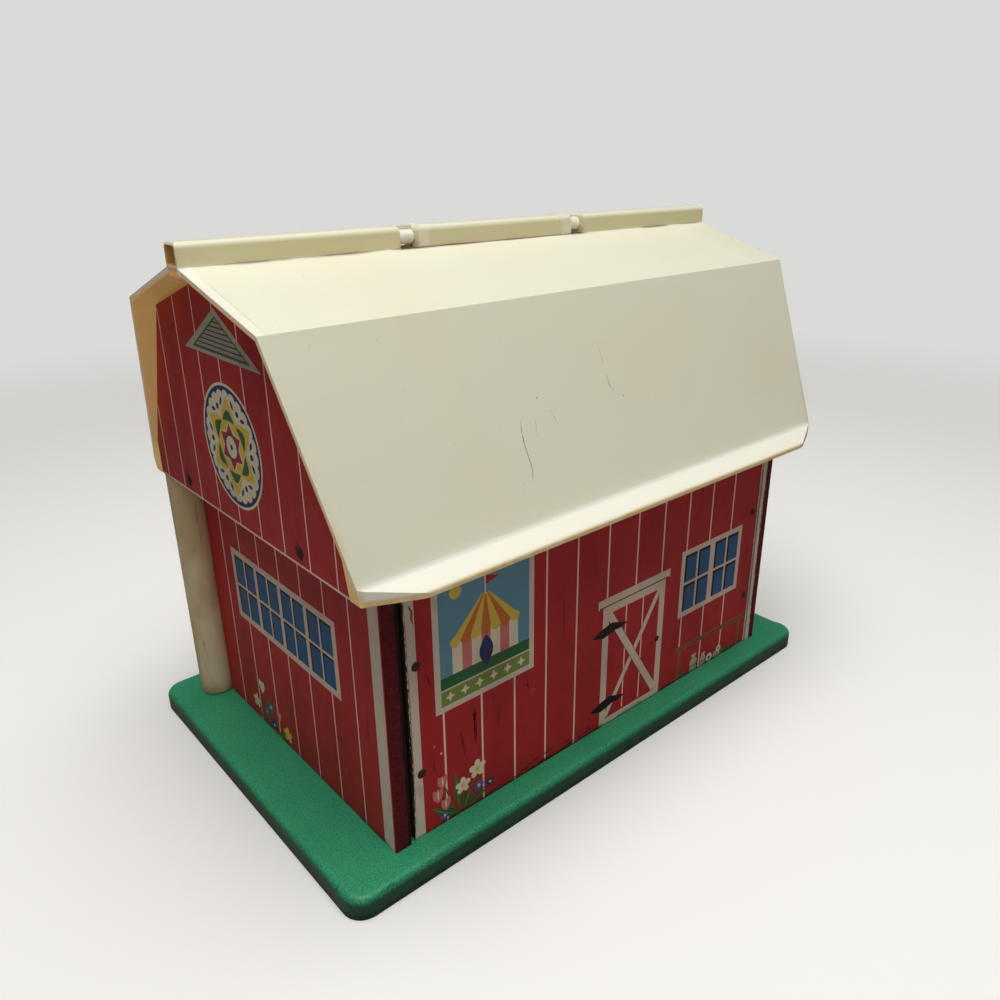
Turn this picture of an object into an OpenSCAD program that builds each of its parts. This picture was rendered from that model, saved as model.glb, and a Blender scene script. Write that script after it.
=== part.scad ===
// Toy barn: board base, nailed walls, loft floor and a moulded two-part roof.
// X runs along the ridge, the ridge stands over Y = 0, Z = 0 is the table.
// The back is the -Y side with the nailed wall, the front is the +Y side with the door.

/* [House] */
// Length of the lower walls over the end boards
house_len = 302; // [250:1:365]
// Depth of the lower walls over the edges of the end boards
house_depth = 195; // [160:1:236]
// Height of the lower walls above the base board
wall_h = 148; // [110:1:200]
// Thickness of the lower gable boards
gable_t = 9; // [8:0.5:12]
// Thickness of the hardboard wall panels and upper gables
panel_t = 3.2; // [2.4:0.1:4.5]
// Setback of the back wall panel from the end boards' edges
panel_recess = 1; // [0.5:0.1:2]
// Gap between the left gable board and the back wall panel
panel_gap_left = 3.2; // [0.5:0.1:5]
// Gap between the right gable board and a wall panel
panel_gap_right = 0.4; // [0.3:0.1:3]
// Side of the square corner cleats
cleat_w = 12; // [11:0.5:18]

/* [Base] */
// Thickness of the base board
base_t = 12; // [9:0.5:18]
// How far the base stands out beyond each gable board
base_side = 33; // [24:1:50]
// How far the base stands out behind the back wall
base_back = 14.5; // [8:0.5:30]
// How far the base stands out before the front wall
base_front = 23.5; // [18:0.5:40]
// Corner radius of the base in plan
base_corner_r = 11; // [8:1:24]
// Radius of the base's rounded top edge
base_edge_r = 4; // [1:0.5:5]

/* [Loft] */
// Thickness of the loft floor
loft_t = 12; // [9:0.5:16]
// How far the loft floor stands out beyond the front and back walls
loft_side = 6.5; // [4:0.5:8]
// How far an upper gable's face stands out beyond the lower one
gable_overhang = 15.5; // [12:0.5:24]
// How far an upper gable's foot stands out beyond the lower walls
gable_foot_side = 4.5; // [2:0.5:6]
// Clearance between an upper gable and the steep roof slope
gable_clear = 0.4; // [0.3:0.1:1]
// Clearance between an upper gable and the top roof slope
gable_top_clear = 2.5; // [1:0.1:4]

/* [Roof] */
// Wall thickness of the moulded roof
roof_t = 2.6; // [2:0.1:3.2]
// How far the steep slope's foot stands out beyond the lower walls
eave_side = 12.5; // [11:0.5:16]
// Height of the steep slope's foot above the loft line
eave_rise = 7.6; // [6:0.1:10]
// Height of the steep slope
steep_rise = 96.8; // [80:0.1:120]
// Distance of the upper knee from the middle plane
knee_side = 69.6; // [58:0.1:76]
// Height of the top slope, from the knee to the foot of the ridge rail
top_rise = 19.8; // [16:0.1:26]
// How far the flared eave stands out beyond the steep slope's foot
flare_out = 11.5; // [8:0.5:14]
// Height of the eave's upright lip
lip_h = 2.5; // [2:0.1:4]
// Length cut off the flare's corners in plan, along the eave
flare_cut = 25.5; // [15:0.5:35]
// Radius that rounds the bend from the eave to a cut corner
flare_corner_r = 12; // [4:1:20]
// Radius of the eave's long upper arris
lip_edge_r = 1.5; // [0.3:0.1:1.8]
// Radius of the rounded knee between the two slopes
knee_r = 2; // [0.5:0.5:3]
// Radius of the hollow bend between the steep slope and the flare
hip_r = 4; // [1:0.5:4]
// How far the roof's rim lies outside the upper gable at the steep slope's foot
rim_reveal = 1; // [0.5:0.1:2]
// Lean of the roof's rims, outwards to the top, in degrees
rim_lean = 6.5; // [3:0.5:8]

/* [Ridge] */
// Width of the ridge rail
rail_w = 12; // [11:0.5:14]
// Height of the ridge rail
rail_h = 10.7; // [10.5:0.1:13]
// Wall of the ridge rail
rail_wall = 1.5; // [1.2:0.1:2]
// Radius of the rail's long top edges
rail_edge_r = 3; // [2:0.1:3.5]
// Length of the middle rail, which belongs to the lifting half
knuckle_len = 110; // [90:1:140]
// Shift of the middle rail from the middle of the ridge
knuckle_shift = -1; // [-10:0.5:10]
// Gap at the left end of the middle rail
gap_left = 11; // [7:0.5:12]
// Gap at the right end of the middle rail
gap_right = 11; // [7:0.5:12]
// Length of the collars at the middle rail's ends
collar_len = 8.5; // [7:0.5:12]
// How far the collars stand proud of the middle rail
collar_proud = 0.4; // [0.2:0.1:0.5]
// Diameter of the ridge hinge pins
pin_d = 7.5; // [6:0.1:7.5]
// Diameter of the thinner end of each hinge pin
neck_d = 4.6; // [4:0.1:5.5]
// Running clearance round a hinge pin, on the radius
pin_clear = 0.05; // [0.03:0.01:0.1]
// Thickness of the rail walls that the pins turn in
bearing_t = 4; // [3:0.5:6]

/* [Door] */
// Outer diameter of the door tube
tube_d = 20.4; // [19:0.1:22]
// Wall of the door tube
tube_wall = 2; // [1.5:0.1:2.5]
// Distance of the tube's axis outside the left gable's face
tube_out = 5.5; // [4:0.5:7]
// Distance of the tube's axis inside the front edge of the walls
tube_in = 0.5; // [0:0.1:2]
// Gap between the tube and the left gable board
tube_gap = 0.6; // [0.4:0.1:1.5]
// Gap below and above the tube and the door
door_gap = 1; // [0.6:0.1:2]
// Thickness of the door
door_t = 3.2; // [2.4:0.1:4]
// Share of the wall's length that the doorway takes, in percent
doorway_share = 55; // [45:1:62]
// How far the closed door laps over the front wall panel
door_lap = 8; // [5:0.5:10]
// Gap between the closed door and the front wall panel
door_rest_gap = 0.3; // [0.2:0.1:0.6]
// Thickness of each cheek that holds the door
cheek_t = 1.6; // [1.2:0.1:2]
// How far the cheeks reach from the tube's surface
cheek_len = 12; // [9:0.5:16]
// Width of the door jamb post
jamb_w = 16; // [14:0.5:22]
// Diameter of the pivot rod
rod_d = 4; // [3:0.5:5]
// Depth of the pivot rod in the base and in the loft floor
rod_seat = 7; // [5:0.5:8]
// Running clearance of the bushes on the rod, on the radius
rod_clear = 0.06; // [0.03:0.01:0.1]
// Length of the tube's bushes
bush_len = 10; // [8:0.5:14]

/* [Fasteners] */
// Head diameter of the wall and gable nails
nail_head_d = 5.4; // [3.5:0.1:6.5]
// Height of a nail's domed head
nail_head_h = 1.1; // [0.6:0.1:1.3]
// Shank diameter of the nails
nail_d = 1.6; // [1.2:0.1:2]
// Length of the wall and gable nails under the head
nail_len = 12; // [10:0.5:13]
// Distance of the wall nails from the panel's edge
nail_edge = 5.8; // [5:0.1:7]
// Height of the lower wall nails above the base
nail_low = 38; // [25:1:45]
// Height of the upper wall nails above the base
nail_high = 99; // [80:1:104]
// Distance of the gable nails from the middle plane
gable_nail_y = 61; // [40:1:70]
// Shank diameter of the base screws
screw_d = 3.5; // [3:0.1:4]
// Head diameter of the base screws
screw_head_d = 7.6; // [6:0.1:8]
// Depth of the base screws in the gable boards
screw_grip = 14; // [10:1:20]

/* [Hidden] */
$fn = 64;
eps = 0.01;
cut = 1;
fit = 0.05;

// Levels
z_base = base_t;
z_loft = base_t + wall_h;
z_floor = z_loft + loft_t;
z_k2 = z_loft + eave_rise;
z_k1 = z_k2 + steep_rise;
z_rf = z_k1 + top_rise;
z_top = z_rf + rail_h;
axis_up = rail_h / 2;
z_axis = z_rf + axis_up;

// Half lengths and half depths
gx = house_len / 2;
wy = house_depth / 2;
gable_face = gx + gable_overhang;
gable_in = gable_face - panel_t;
floor_y = wy + loft_side;
gable_y = wy + gable_foot_side;
y_k2 = wy + eave_side;
y_eave = y_k2 + flare_out;
rim_k2 = gable_face + rim_reveal;
function rim(z) = rim_k2 + (z - z_k2) * tan(rim_lean);
rail_end = rim(z_rf);
shell_x = rim(z_top) + cut;

// The end webs stop short of the upper gables' edges
web_in = gable_face - 1.9;
web_y = gable_y + 0.3;

// Ridge rail stations along X
kn_a = knuckle_shift - knuckle_len / 2;
kn_b = knuckle_shift + knuckle_len / 2;
rail_a = kn_a - gap_left;
rail_b = kn_b + gap_right;
half_rail = rail_w / 2;
fixed_end_r = 2.4;
collar_end_r = 3.4;
edge_gap = 0.3;
edge_fixed = half_rail + edge_gap;
edge_knuckle = edge_fixed + collar_proud + 0.1;
root_side = edge_knuckle + 0.6;
pin_r = pin_d / 2;
neck_r = neck_d / 2;
pin_shoulder = 1.3;
pin_beyond = 3;
tip_room = 0.5;
tongue_over = 0.45;
tongue_end = 0.7;
tongue_near = 1.5;
gap_floor = 0.6;
gap_floor_t = 1.4;

// Seal lips under the rails, clear of the collars' lower corners as they swing
lip_room = 0.25;
lip_drop = norm([half_rail + collar_proud, axis_up]) - axis_up + lip_room;
lip_t = 1.2;
lip_reach = 3;

// Door tube and doorway
tube_x = -(gx + tube_out);
tube_y = wy - tube_in;
tube_r = tube_d / 2;
bore_r = tube_r - tube_wall;
left_front = tube_y - sqrt(pow(tube_r + tube_gap, 2) - pow(tube_out, 2));
wall_in = gx - gable_t;
doorway = 2 * wall_in * doorway_share / 100;
front_x = -wall_in + doorway;
front_face = tube_y - door_t / 2 - door_rest_gap;
door_z0 = z_base + door_gap;
door_z1 = z_loft - door_gap;
door_x1 = front_x + door_lap;
door_x0 = tube_x + tube_r + 0.4;
cheek_x1 = tube_x + tube_r + cheek_len;

// Wall panels
back_face = -wy + panel_recess;
back_x0 = -wall_in + panel_gap_left;
panel_x1 = wall_in - panel_gap_right;
screw_ys = [-wy * 0.8, 0, wy * 0.76];
screw_x = gx - gable_t / 2;
loft_nail_ys = [-wy * 0.62, wy * 0.62];
loft_nail_len = 26;
tab_xs = [-gx * 0.72, 0, gx * 0.72];
tab_w = 16;
tab_reach = 15;
tab_screw_y = -(floor_y - 6);
tab_screw_len = 9;
tab_screw_d = 2.8;
tab_head_d = 5.6;
tab_head_h = 1.6;
rivet_d = 3;
rivet_head_d = 5;
rivet_head_h = 0.7;
rivet_zs = [z_base + 18, z_base + wall_h / 2, z_loft - 18];
rivet_x = tube_x + tube_r + cheek_len / 2 + 1;

// Voice unit
voice_z = z_base + wall_h * 0.45;
spool_h = 12;
spool_flange = 1.6;
spool_r = 5.6;
waist_r = 4;
band_clear = 0.08;
band_t = 1.1;
band_h = 4;
link_r = 0.5;
diaphragm_t = 1;
diaphragm_z = voice_z + 20;

// Point where the line through p along d meets the line through q along e
function side(a, b) = a[0] * b[1] - a[1] * b[0];
function meet(p, d, q, e) = p + d * (side(q - p, e) / side(d, e));
function dir(a, b) = (b - a) / norm(b - a);
// A line's point moved to the inner side of the roof by t
function inward(p, d, t) = p + t * [d[1], -d[0]];
function at_y(p, d, y) = p + d * ((y - p[0]) / d[0]);
function at_z(p, d, z) = p + d * ((z - p[1]) / d[1]);

foot = [half_rail, z_rf];
knee = [knee_side, z_k1];
hip = [y_k2, z_k2];
eave = [y_eave, z_loft + lip_h];
d_top = dir(foot, knee);
d_steep = dir(knee, hip);
d_flare = dir(hip, eave);

function inner_knee(a, b) = meet(inward(foot, d_top, a), d_top, inward(hip, d_steep, b), d_steep);
in_knee = inner_knee(roof_t, roof_t);
in_hip = meet(inward(hip, d_steep, roof_t), d_steep, inward(hip, d_flare, roof_t), d_flare);
inner_r = 0.5;
in_ridge = at_y(inward(foot, d_top, roof_t), d_top, 0);
in_eave = at_y(inward(hip, d_flare, roof_t), d_flare, y_eave);
tab_y = at_z(in_hip, d_steep, z_floor + roof_t)[0] + roof_t / 2;

// Shape drawn in Y and Z, drawn out along X from a to b
module along_x(a, b) {
    translate([a, 0, 0])
        rotate([90, 0, 90])
            linear_extrude(height = b - a)
                children();
}

// Shape drawn in X and Z, drawn out along Y from a to b
module along_y(a, b) {
    translate([0, b, 0])
        rotate([90, 0, 0])
            linear_extrude(height = b - a)
                children();
}

module block(lo, hi) {
    translate(lo)
        cube(hi - lo);
}

// Nail pointing along +Z with its domed head below Z = 0
module nail(len) {
    dome_r = (pow(nail_head_d / 2, 2) + pow(nail_head_h, 2)) / (2 * nail_head_h);
    cylinder(d = nail_d, h = len);
    intersection() {
        translate([0, 0, dome_r - nail_head_h])
            sphere(r = dome_r);
        translate([0, 0, -2 * nail_head_h])
            cylinder(d = nail_head_d + 2, h = 2 * nail_head_h);
    }
}

module nail_hole(len) {
    translate([0, 0, -cut])
        cylinder(d = nail_d + 2 * fit, h = len + cut);
}

// Places for the nails that go into a wall panel, at the panel's outer face
module back_nail_places() {
    for (x = [back_x0 + nail_edge, panel_x1 - nail_edge], h = [nail_low, nail_high])
        translate([x, back_face, z_base + h])
            rotate([-90, 0, 0])
                children();
}

module front_nail_places() {
    for (x = [front_x + door_lap + nail_edge, panel_x1 - nail_edge], h = [nail_low, nail_high])
        translate([x, front_face, z_base + h])
            rotate([90, 0, 0])
                children();
}

module gable_nail_places() {
    for (s = [-1, 1], y = [-gable_nail_y, gable_nail_y])
        translate([s * gable_face, y, z_loft + loft_t / 2])
            rotate([0, -s * 90, 0])
                children();
}

module base_screw_places() {
    for (s = [-1, 1], y = screw_ys)
        translate([s * screw_x, y, 0])
            children();
}

module loft_nail_places() {
    for (s = [-1, 1], y = loft_nail_ys)
        translate([s * screw_x, y, z_floor - nail_head_h])
            rotate([180, 0, 0])
                children();
}

module tab_screw_places() {
    for (x = tab_xs)
        translate([x, tab_screw_y, z_floor + roof_t])
            rotate([180, 0, 0])
                children();
}

// Countersunk screw driven up from Z = 0
module base_screw() {
    head_h = (screw_head_d - screw_d) / 2;
    cylinder(d = screw_d, h = base_t + screw_grip);
    cylinder(d1 = screw_head_d, d2 = screw_d, h = head_h);
}

module base_screw_hole(len) {
    head_h = (screw_head_d - screw_d) / 2;
    translate([0, 0, -cut])
        cylinder(d = screw_d + 2 * fit, h = len + cut);
    translate([0, 0, -eps])
        cylinder(d1 = screw_head_d + 2 * fit, d2 = screw_d + 2 * fit, h = head_h + eps);
}

module round_plan(len, deep, r) {
    for (x = [-len / 2 + r, len / 2 - r], y = [-deep / 2 + r, deep / 2 - r])
        translate([x, y])
            circle(r = r);
    square([len - 2 * r, deep], center = true);
    square([len, deep - 2 * r], center = true);
}

// Board with round corners in plan and a rounded top edge
module base_board() {
    len = house_len + 2 * base_side;
    deep = house_depth + base_back + base_front;
    mid = (base_front - base_back) / 2;
    r = base_edge_r;
    cx = len / 2 - base_corner_r;
    cy = deep / 2 - base_corner_r;
    color("seagreen")
    difference() {
        translate([0, mid, 0])
            union() {
                linear_extrude(height = base_t - r)
                    round_plan(len, deep, base_corner_r);
                linear_extrude(height = base_t)
                    round_plan(len - 2 * r, deep - 2 * r, base_corner_r - r);
                for (s = [-1, 1]) {
                    translate([s * (len / 2 - r), 0, base_t - r])
                        rotate([90, 0, 0])
                            cylinder(r = r, h = 2 * cy, center = true);
                    translate([0, s * (deep / 2 - r), base_t - r])
                        rotate([0, 90, 0])
                            cylinder(r = r, h = 2 * cx, center = true);
                }
                for (x = [-cx, cx], y = [-cy, cy])
                    translate([x, y, base_t - r])
                        rotate_extrude()
                            translate([base_corner_r - r, 0])
                                circle(r = r);
            }
        base_screw_places()
            base_screw_hole(base_t + cut);
        translate([tube_x, tube_y, z_base - rod_seat])
            cylinder(d = rod_d, h = rod_seat + cut);
    }
}

module gable_board(s, front) {
    difference() {
        block([min(s * gx, s * wall_in), -wy, z_base], [max(s * gx, s * wall_in), front, z_loft]);
        base_screw_places()
            base_screw_hole(base_t + screw_grip);
        loft_nail_places()
            nail_hole(loft_nail_len);
    }
}

// Its front edge stops short to leave room for the door tube
module left_gable_board() {
    color("firebrick")
        gable_board(-1, left_front);
}

module right_gable_board() {
    color("firebrick")
        gable_board(1, wy);
}

module back_wall_panel() {
    color("brown")
    difference() {
        block([back_x0, back_face, z_base], [panel_x1, back_face + panel_t, z_loft]);
        back_nail_places()
            nail_hole(nail_len);
    }
}

module front_wall_panel() {
    color("brown")
    difference() {
        block([front_x, front_face - panel_t, z_base], [panel_x1, front_face, z_loft]);
        front_nail_places()
            nail_hole(nail_len);
    }
}

// Square strips in the corners, glued to the gable boards
module corner_cleats() {
    back = back_face + panel_t;
    front = front_face - panel_t;
    color("burlywood")
    difference() {
        union() {
            block([-wall_in, back, z_base], [-wall_in + cleat_w, back + cleat_w, z_loft]);
            block([wall_in - cleat_w, back, z_base], [wall_in, back + cleat_w, z_loft]);
            block([wall_in - cleat_w, front - cleat_w, z_base], [wall_in, front, z_loft]);
        }
        back_nail_places()
            nail_hole(nail_len);
        front_nail_places()
            nail_hole(nail_len);
    }
}

module door_jamb() {
    front = front_face - panel_t;
    color("burlywood")
    difference() {
        block([front_x, front - cleat_w, z_base], [front_x + jamb_w, front, z_loft]);
        front_nail_places()
            nail_hole(nail_len);
    }
}

module back_wall_nails() {
    color("saddlebrown")
        back_nail_places()
            nail(nail_len);
}

module front_wall_nails() {
    color("saddlebrown")
        front_nail_places()
            nail(nail_len);
}

module loft_floor() {
    color("tan")
    difference() {
        block([-gable_in, -floor_y, z_loft], [gable_in, floor_y, z_floor]);
        gable_nail_places()
            nail_hole(nail_len);
        tab_screw_places()
            translate([0, 0, roof_t - eps])
                cylinder(d = tab_screw_d + 2 * fit, h = tab_screw_len);
        loft_nail_places() {
            nail_hole(loft_nail_len);
            translate([0, 0, -2 * nail_head_h])
                cylinder(d = nail_head_d + 4 * fit, h = 2 * nail_head_h);
        }
        translate([tube_x, tube_y, z_loft - cut])
            cylinder(d = rod_d, h = rod_seat + cut);
    }
}

module loft_nails() {
    color("saddlebrown")
        loft_nail_places()
            nail(loft_nail_len);
}

// Upper gable: upright edges at the foot, then the slopes just inside the roof
module upper_gable(s) {
    steep = inward(hip, d_steep, roof_t + gable_clear);
    top = inward(foot, d_top, roof_t + gable_top_clear);
    shoulder = at_y(steep, d_steep, gable_y);
    peak_z = z_rf - lip_drop - lip_t - 0.5;
    peak = meet(top, d_top, [0, peak_z], [1, 0]);
    knee_in = inner_knee(roof_t + gable_top_clear, roof_t + gable_clear);
    half = [[gable_y, z_loft], shoulder, knee_in, peak];
    other = [for (i = [3:-1:0]) [-half[i][0], half[i][1]]];
    difference() {
        along_x(s > 0 ? gable_in : -gable_face, s > 0 ? gable_face : -gable_in)
            polygon(concat(half, other));
        gable_nail_places()
            nail_hole(nail_len);
    }
}

module left_upper_gable() {
    color("firebrick")
        upper_gable(-1);
}

module right_upper_gable() {
    color("firebrick")
        upper_gable(1);
}

module gable_nails() {
    color("saddlebrown")
        gable_nail_places()
            nail(nail_len);
}

// Ends of the arc that rounds the corner v between the lines along d and e
function bend_reach(d, e, r) = r * tan(acos(d * e) / 2);
function bend_centre(v, d, e, r) =
    let (t = v - d * bend_reach(d, e, r), turn = sign(side(d, e)))
    t + r * turn * [-d[1], d[0]];

// Sliver between the corner v and the arc that rounds it
module corner_sliver(v, d, e, r) {
    reach = bend_reach(d, e, r);
    difference() {
        polygon([v - d * reach, v, v + e * reach]);
        translate(bend_centre(v, d, e, r))
            circle(r = r);
    }
}

// The flare's outline in plan, drawn in by inset: a straight eave, each end cut
// off along a line to the rim's foot, with the bend between the two rounded
module flare_plan(inset) {
    corner = [rim_k2 - flare_cut, y_eave];
    d_cut = dir(corner, [rim_k2, y_k2]);
    start = inward(corner, d_cut, inset);
    bend = meet([0, y_eave - inset], [1, 0], start, d_cut);
    side_end = meet([shell_x, 0], [0, 1], start, d_cut);
    for (s = [0, 1])
        mirror([s, 0])
            difference() {
                polygon([[-cut, 0], [shell_x, 0], side_end, bend, [-cut, bend[1]]]);
                corner_sliver(bend, [1, 0], d_cut, flare_corner_r - inset);
            }
}

// Outline with its knee and hip rounded: the knee loses its tip, the hip is filled
module bent_profile(points, top, low, r_top, r_low) {
    difference() {
        polygon(points);
        corner_sliver(top, d_top, d_steep, r_top);
    }
    corner_sliver(low, d_steep, d_flare, r_low);
}

// One moulded half on the +Y side, from y0 outwards, without its ridge rail
module half_shell(y0) {
    outer = [at_y(foot, d_top, y0), knee, hip, eave, [y_eave, z_loft], [y0, z_loft]];
    inner = [in_ridge, in_knee, in_hip, in_eave, [y_eave, z_loft - cut], [0, z_loft - cut]];
    difference() {
        intersection() {
            along_x(-shell_x, shell_x)
                difference() {
                    bent_profile(outer, knee, hip, knee_r, hip_r);
                    corner_sliver(eave, d_flare, [0, -1], lip_edge_r);
                }
            along_y(0, y_eave + cut)
                polygon([[-rim(z_loft), z_loft - cut], [rim(z_loft), z_loft - cut],
                    [rim(z_top), z_top], [-rim(z_top), z_top]]);
            translate([0, 0, z_loft - cut])
                linear_extrude(height = z_top - z_loft + cut)
                    flare_plan(0);
        }
        intersection() {
            along_x(-shell_x - cut, shell_x + cut)
                bent_profile(inner, in_knee, in_hip, inner_r, roof_t + hip_r);
            union() {
                block([-shell_x - cut, -cut, z_loft - 2 * cut], [shell_x + cut, web_y, z_top]);
                intersection() {
                    block([-web_in, 0, z_loft - 2 * cut], [web_in, y_eave, z_top]);
                    translate([0, 0, z_loft - 2 * cut])
                        linear_extrude(height = z_top - z_loft + 2 * cut)
                            flare_plan(roof_t);
                }
            }
        }
    }
}

// Section of the ridge rail in Y and Z, drawn in from its outside by inset
module rail_section(inset) {
    w = half_rail - inset;
    r = rail_edge_r - min(inset, rail_edge_r - 0.5);
    z0 = z_rf + max(inset, 0);
    z1 = z_top - inset;
    translate([-w, z0])
        square([2 * w, z1 - r - z0]);
    translate([-w + r, z0])
        square([2 * (w - r), z1 - z0]);
    for (y = [-w + r, w - r])
        translate([y, z1 - r])
            circle(r = r);
}

// Side view of a length of rail, with round upper corners
module rail_side(a, b, r) {
    translate([a, z_rf - cut])
        square([b - a, rail_h + cut - r]);
    translate([a + r, z_rf - cut])
        square([b - a - 2 * r, rail_h + 2 * cut]);
    for (x = [a + r, b - r])
        translate([x, z_top + collar_proud - r])
            circle(r = r);
}

// Thin lip under the rail of the other half, which keeps the ridge dark inside
module seal_lip(a, b) {
    under = at_y(inward(foot, d_top, roof_t), d_top, half_rail + 4)[1];
    block([a, -lip_reach, z_rf - lip_drop - lip_t], [b, half_rail + 2, z_rf - lip_drop]);
    along_x(a, b)
        polygon([[half_rail + 2, z_rf - lip_drop - lip_t], [half_rail + 4, under - 0.4],
            [half_rail + 4, under + 0.6], [half_rail + 0.9, under + 0.9],
            [half_rail + 0.9, z_rf - lip_drop - 0.2]]);
}

// Floor under a gap's hinge pin, from the top slope's edge inwards
module gap_floor_web(a, b) {
    block([a, -lip_reach, z_rf - gap_floor - gap_floor_t], [b, edge_knuckle + 1, z_rf - gap_floor]);
}

// Joins the foot of a rail to the top slope of its own half
module rail_root(a, b) {
    top = at_y(foot, d_top, root_side);
    under = at_y(inward(foot, d_top, roof_t), d_top, root_side);
    along_x(a, b)
        polygon([[half_rail - rail_wall, z_rf + rail_wall], [half_rail, z_rf + rail_wall],
            foot, top, under, [half_rail - rail_wall, z_rf - roof_t]]);
}

module on_axis(a, b, r) {
    translate([a, 0, z_axis])
        rotate([0, 90, 0])
            cylinder(r = r, h = b - a);
}

// Fixed length of rail: hollow, open at the gable end, a bearing wall at the gap
module fixed_rail(a, b, bearing_at_b, bore) {
    hollow_a = bearing_at_b ? a - cut : a + bearing_t;
    hollow_b = bearing_at_b ? b - bearing_t : b + cut;
    difference() {
        intersection() {
            along_x(a, b)
                rail_section(0);
            along_y(-rail_w, rail_w)
                rail_side(a, b, fixed_end_r);
        }
        along_x(hollow_a, hollow_b)
            rail_section(rail_wall);
        on_axis(bearing_at_b ? b - bearing_t - cut : a - cut,
            bearing_at_b ? b + cut : a + bearing_t + cut, bore);
    }
}

// Near half: fixed, with two lengths of rail and the tabs that are screwed down
module near_roof() {
    color("ivory")
    difference() {
        union() {
            mirror([0, 1, 0]) {
                difference() {
                    half_shell(edge_fixed);
                    block([rail_a, 0, z_k1], [rail_b, edge_knuckle, z_top]);
                }
                rail_root(-rail_end, rail_a);
                rail_root(rail_b, rail_end);
                seal_lip(kn_a + 1, kn_b - 1);
                gap_floor_web(rail_a, kn_a - tongue_end);
                gap_floor_web(kn_b + tongue_end, rail_b);
                for (x = tab_xs)
                    block([x - tab_w / 2, floor_y - tab_reach, z_floor],
                        [x + tab_w / 2, tab_y, z_floor + roof_t]);
            }
            fixed_rail(-rail_end, rail_a, true, pin_r + pin_clear);
            fixed_rail(rail_b, rail_end, false, neck_r + pin_clear);
            intersection() {
                along_x(rail_a - 2, kn_a - tongue_end)
                    rail_section(0);
                block([rail_a - 2, -tongue_near, z_axis + pin_r + tongue_over],
                    [kn_a, rail_w, z_top + cut]);
            }
        }
        tab_screw_places()
            translate([0, 0, -cut])
                cylinder(d = tab_screw_d + 2 * fit, h = roof_t + 2 * cut);
    }
}

module roof_screws() {
    color("silver")
    tab_screw_places() {
        translate([0, 0, -tab_head_h])
            cylinder(d = tab_head_d, h = tab_head_h);
        cylinder(d = tab_screw_d, h = roof_t + tab_screw_len - tip_room);
    }
}

module base_screws() {
    color("silver")
        base_screw_places()
            base_screw();
}

// Front half: lifts about the ridge pins, with the middle length of rail
module lifting_roof() {
    color("cornsilk")
    union() {
        half_shell(edge_fixed);
        rail_root(kn_a, kn_b);
        seal_lip(-rail_end + 2, rail_a - 1);
        seal_lip(rail_b + 1, rail_end - 2);
        difference() {
            intersection() {
                union() {
                    along_x(kn_a, kn_b)
                        rail_section(0);
                    along_x(kn_a, kn_a + collar_len)
                        rail_section(-collar_proud);
                    along_x(kn_b - collar_len, kn_b)
                        rail_section(-collar_proud);
                }
                along_y(-rail_w, rail_w)
                    rail_side(kn_a, kn_b, collar_end_r);
            }
            along_x(kn_a + collar_len, kn_b - collar_len)
                rail_section(rail_wall);
            on_axis(kn_a - cut, kn_a + collar_len + cut, neck_r);
            on_axis(kn_b - collar_len - cut, kn_b + cut, pin_r);
        }
    }
}

// Shouldered pins, pressed into the collars: the left one turns on its barrel,
// the right one on its neck
module ridge_pins() {
    left_step = kn_a - pin_shoulder;
    right_step = rail_b - pin_shoulder;
    color("antiquewhite") {
        on_axis(rail_a - bearing_t - pin_beyond, left_step, pin_r);
        on_axis(left_step - cut, kn_a + collar_len - tip_room, neck_r);
        on_axis(kn_b - collar_len + tip_room, right_step, pin_r);
        on_axis(right_step - cut, rail_b + bearing_t + pin_beyond, neck_r);
    }
}

module at_tube(z) {
    translate([tube_x, tube_y, z])
        children();
}

module pivot_rod() {
    color("silver")
        at_tube(z_base - rod_seat)
            cylinder(d = rod_d, h = wall_h + 2 * rod_seat);
}

// Friction spool, fixed on the rod
module voice_spool() {
    color("sienna")
    at_tube(voice_z)
        rotate_extrude()
            polygon([[rod_d / 2, 0], [spool_r, 0], [spool_r, spool_flange],
                [waist_r, spool_flange], [waist_r, spool_h - spool_flange],
                [spool_r, spool_h - spool_flange], [spool_r, spool_h], [rod_d / 2, spool_h]]);
}

// Tube with two cheeks that clasp the door's edge
module door_tube() {
    h = door_z1 - door_z0 + 0.8;
    color("ivory")
    difference() {
        union() {
            at_tube(door_z0 - 0.4)
                cylinder(r = tube_r, h = h, $fn = 128);
            block([tube_x + bore_r + 0.6, tube_y - door_t / 2 - cheek_t, door_z0],
                [cheek_x1, tube_y + door_t / 2 + cheek_t, door_z1]);
        }
        at_tube(0)
            cylinder(r = bore_r, h = z_floor, $fn = 128);
        block([tube_x + tube_r + 0.2, tube_y - door_t / 2, 0],
            [cheek_x1 + cut, tube_y + door_t / 2, z_floor]);
        for (z = rivet_zs)
            translate([rivet_x, tube_y, z])
                rotate([90, 0, 0])
                    cylinder(d = rivet_d, h = 6 * cheek_t + door_t, center = true);
    }
}

module bush(z0) {
    at_tube(z0)
        difference() {
            cylinder(r = bore_r, h = bush_len);
            translate([0, 0, -cut])
                cylinder(r = rod_d / 2 + rod_clear, h = bush_len + 2 * cut);
        }
}

module tube_foot_bush() {
    color("darkkhaki")
        bush(z_base + 0.3);
}

module tube_head_bush() {
    color("darkkhaki")
        bush(z_loft - 0.3 - bush_len);
}

module barn_door() {
    color("indianred")
    difference() {
        block([door_x0, tube_y - door_t / 2, door_z0], [door_x1, tube_y + door_t / 2, door_z1]);
        for (z = rivet_zs)
            translate([rivet_x, tube_y, z])
                rotate([90, 0, 0])
                    cylinder(d = rivet_d, h = 2 * door_t, center = true);
    }
}

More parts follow.
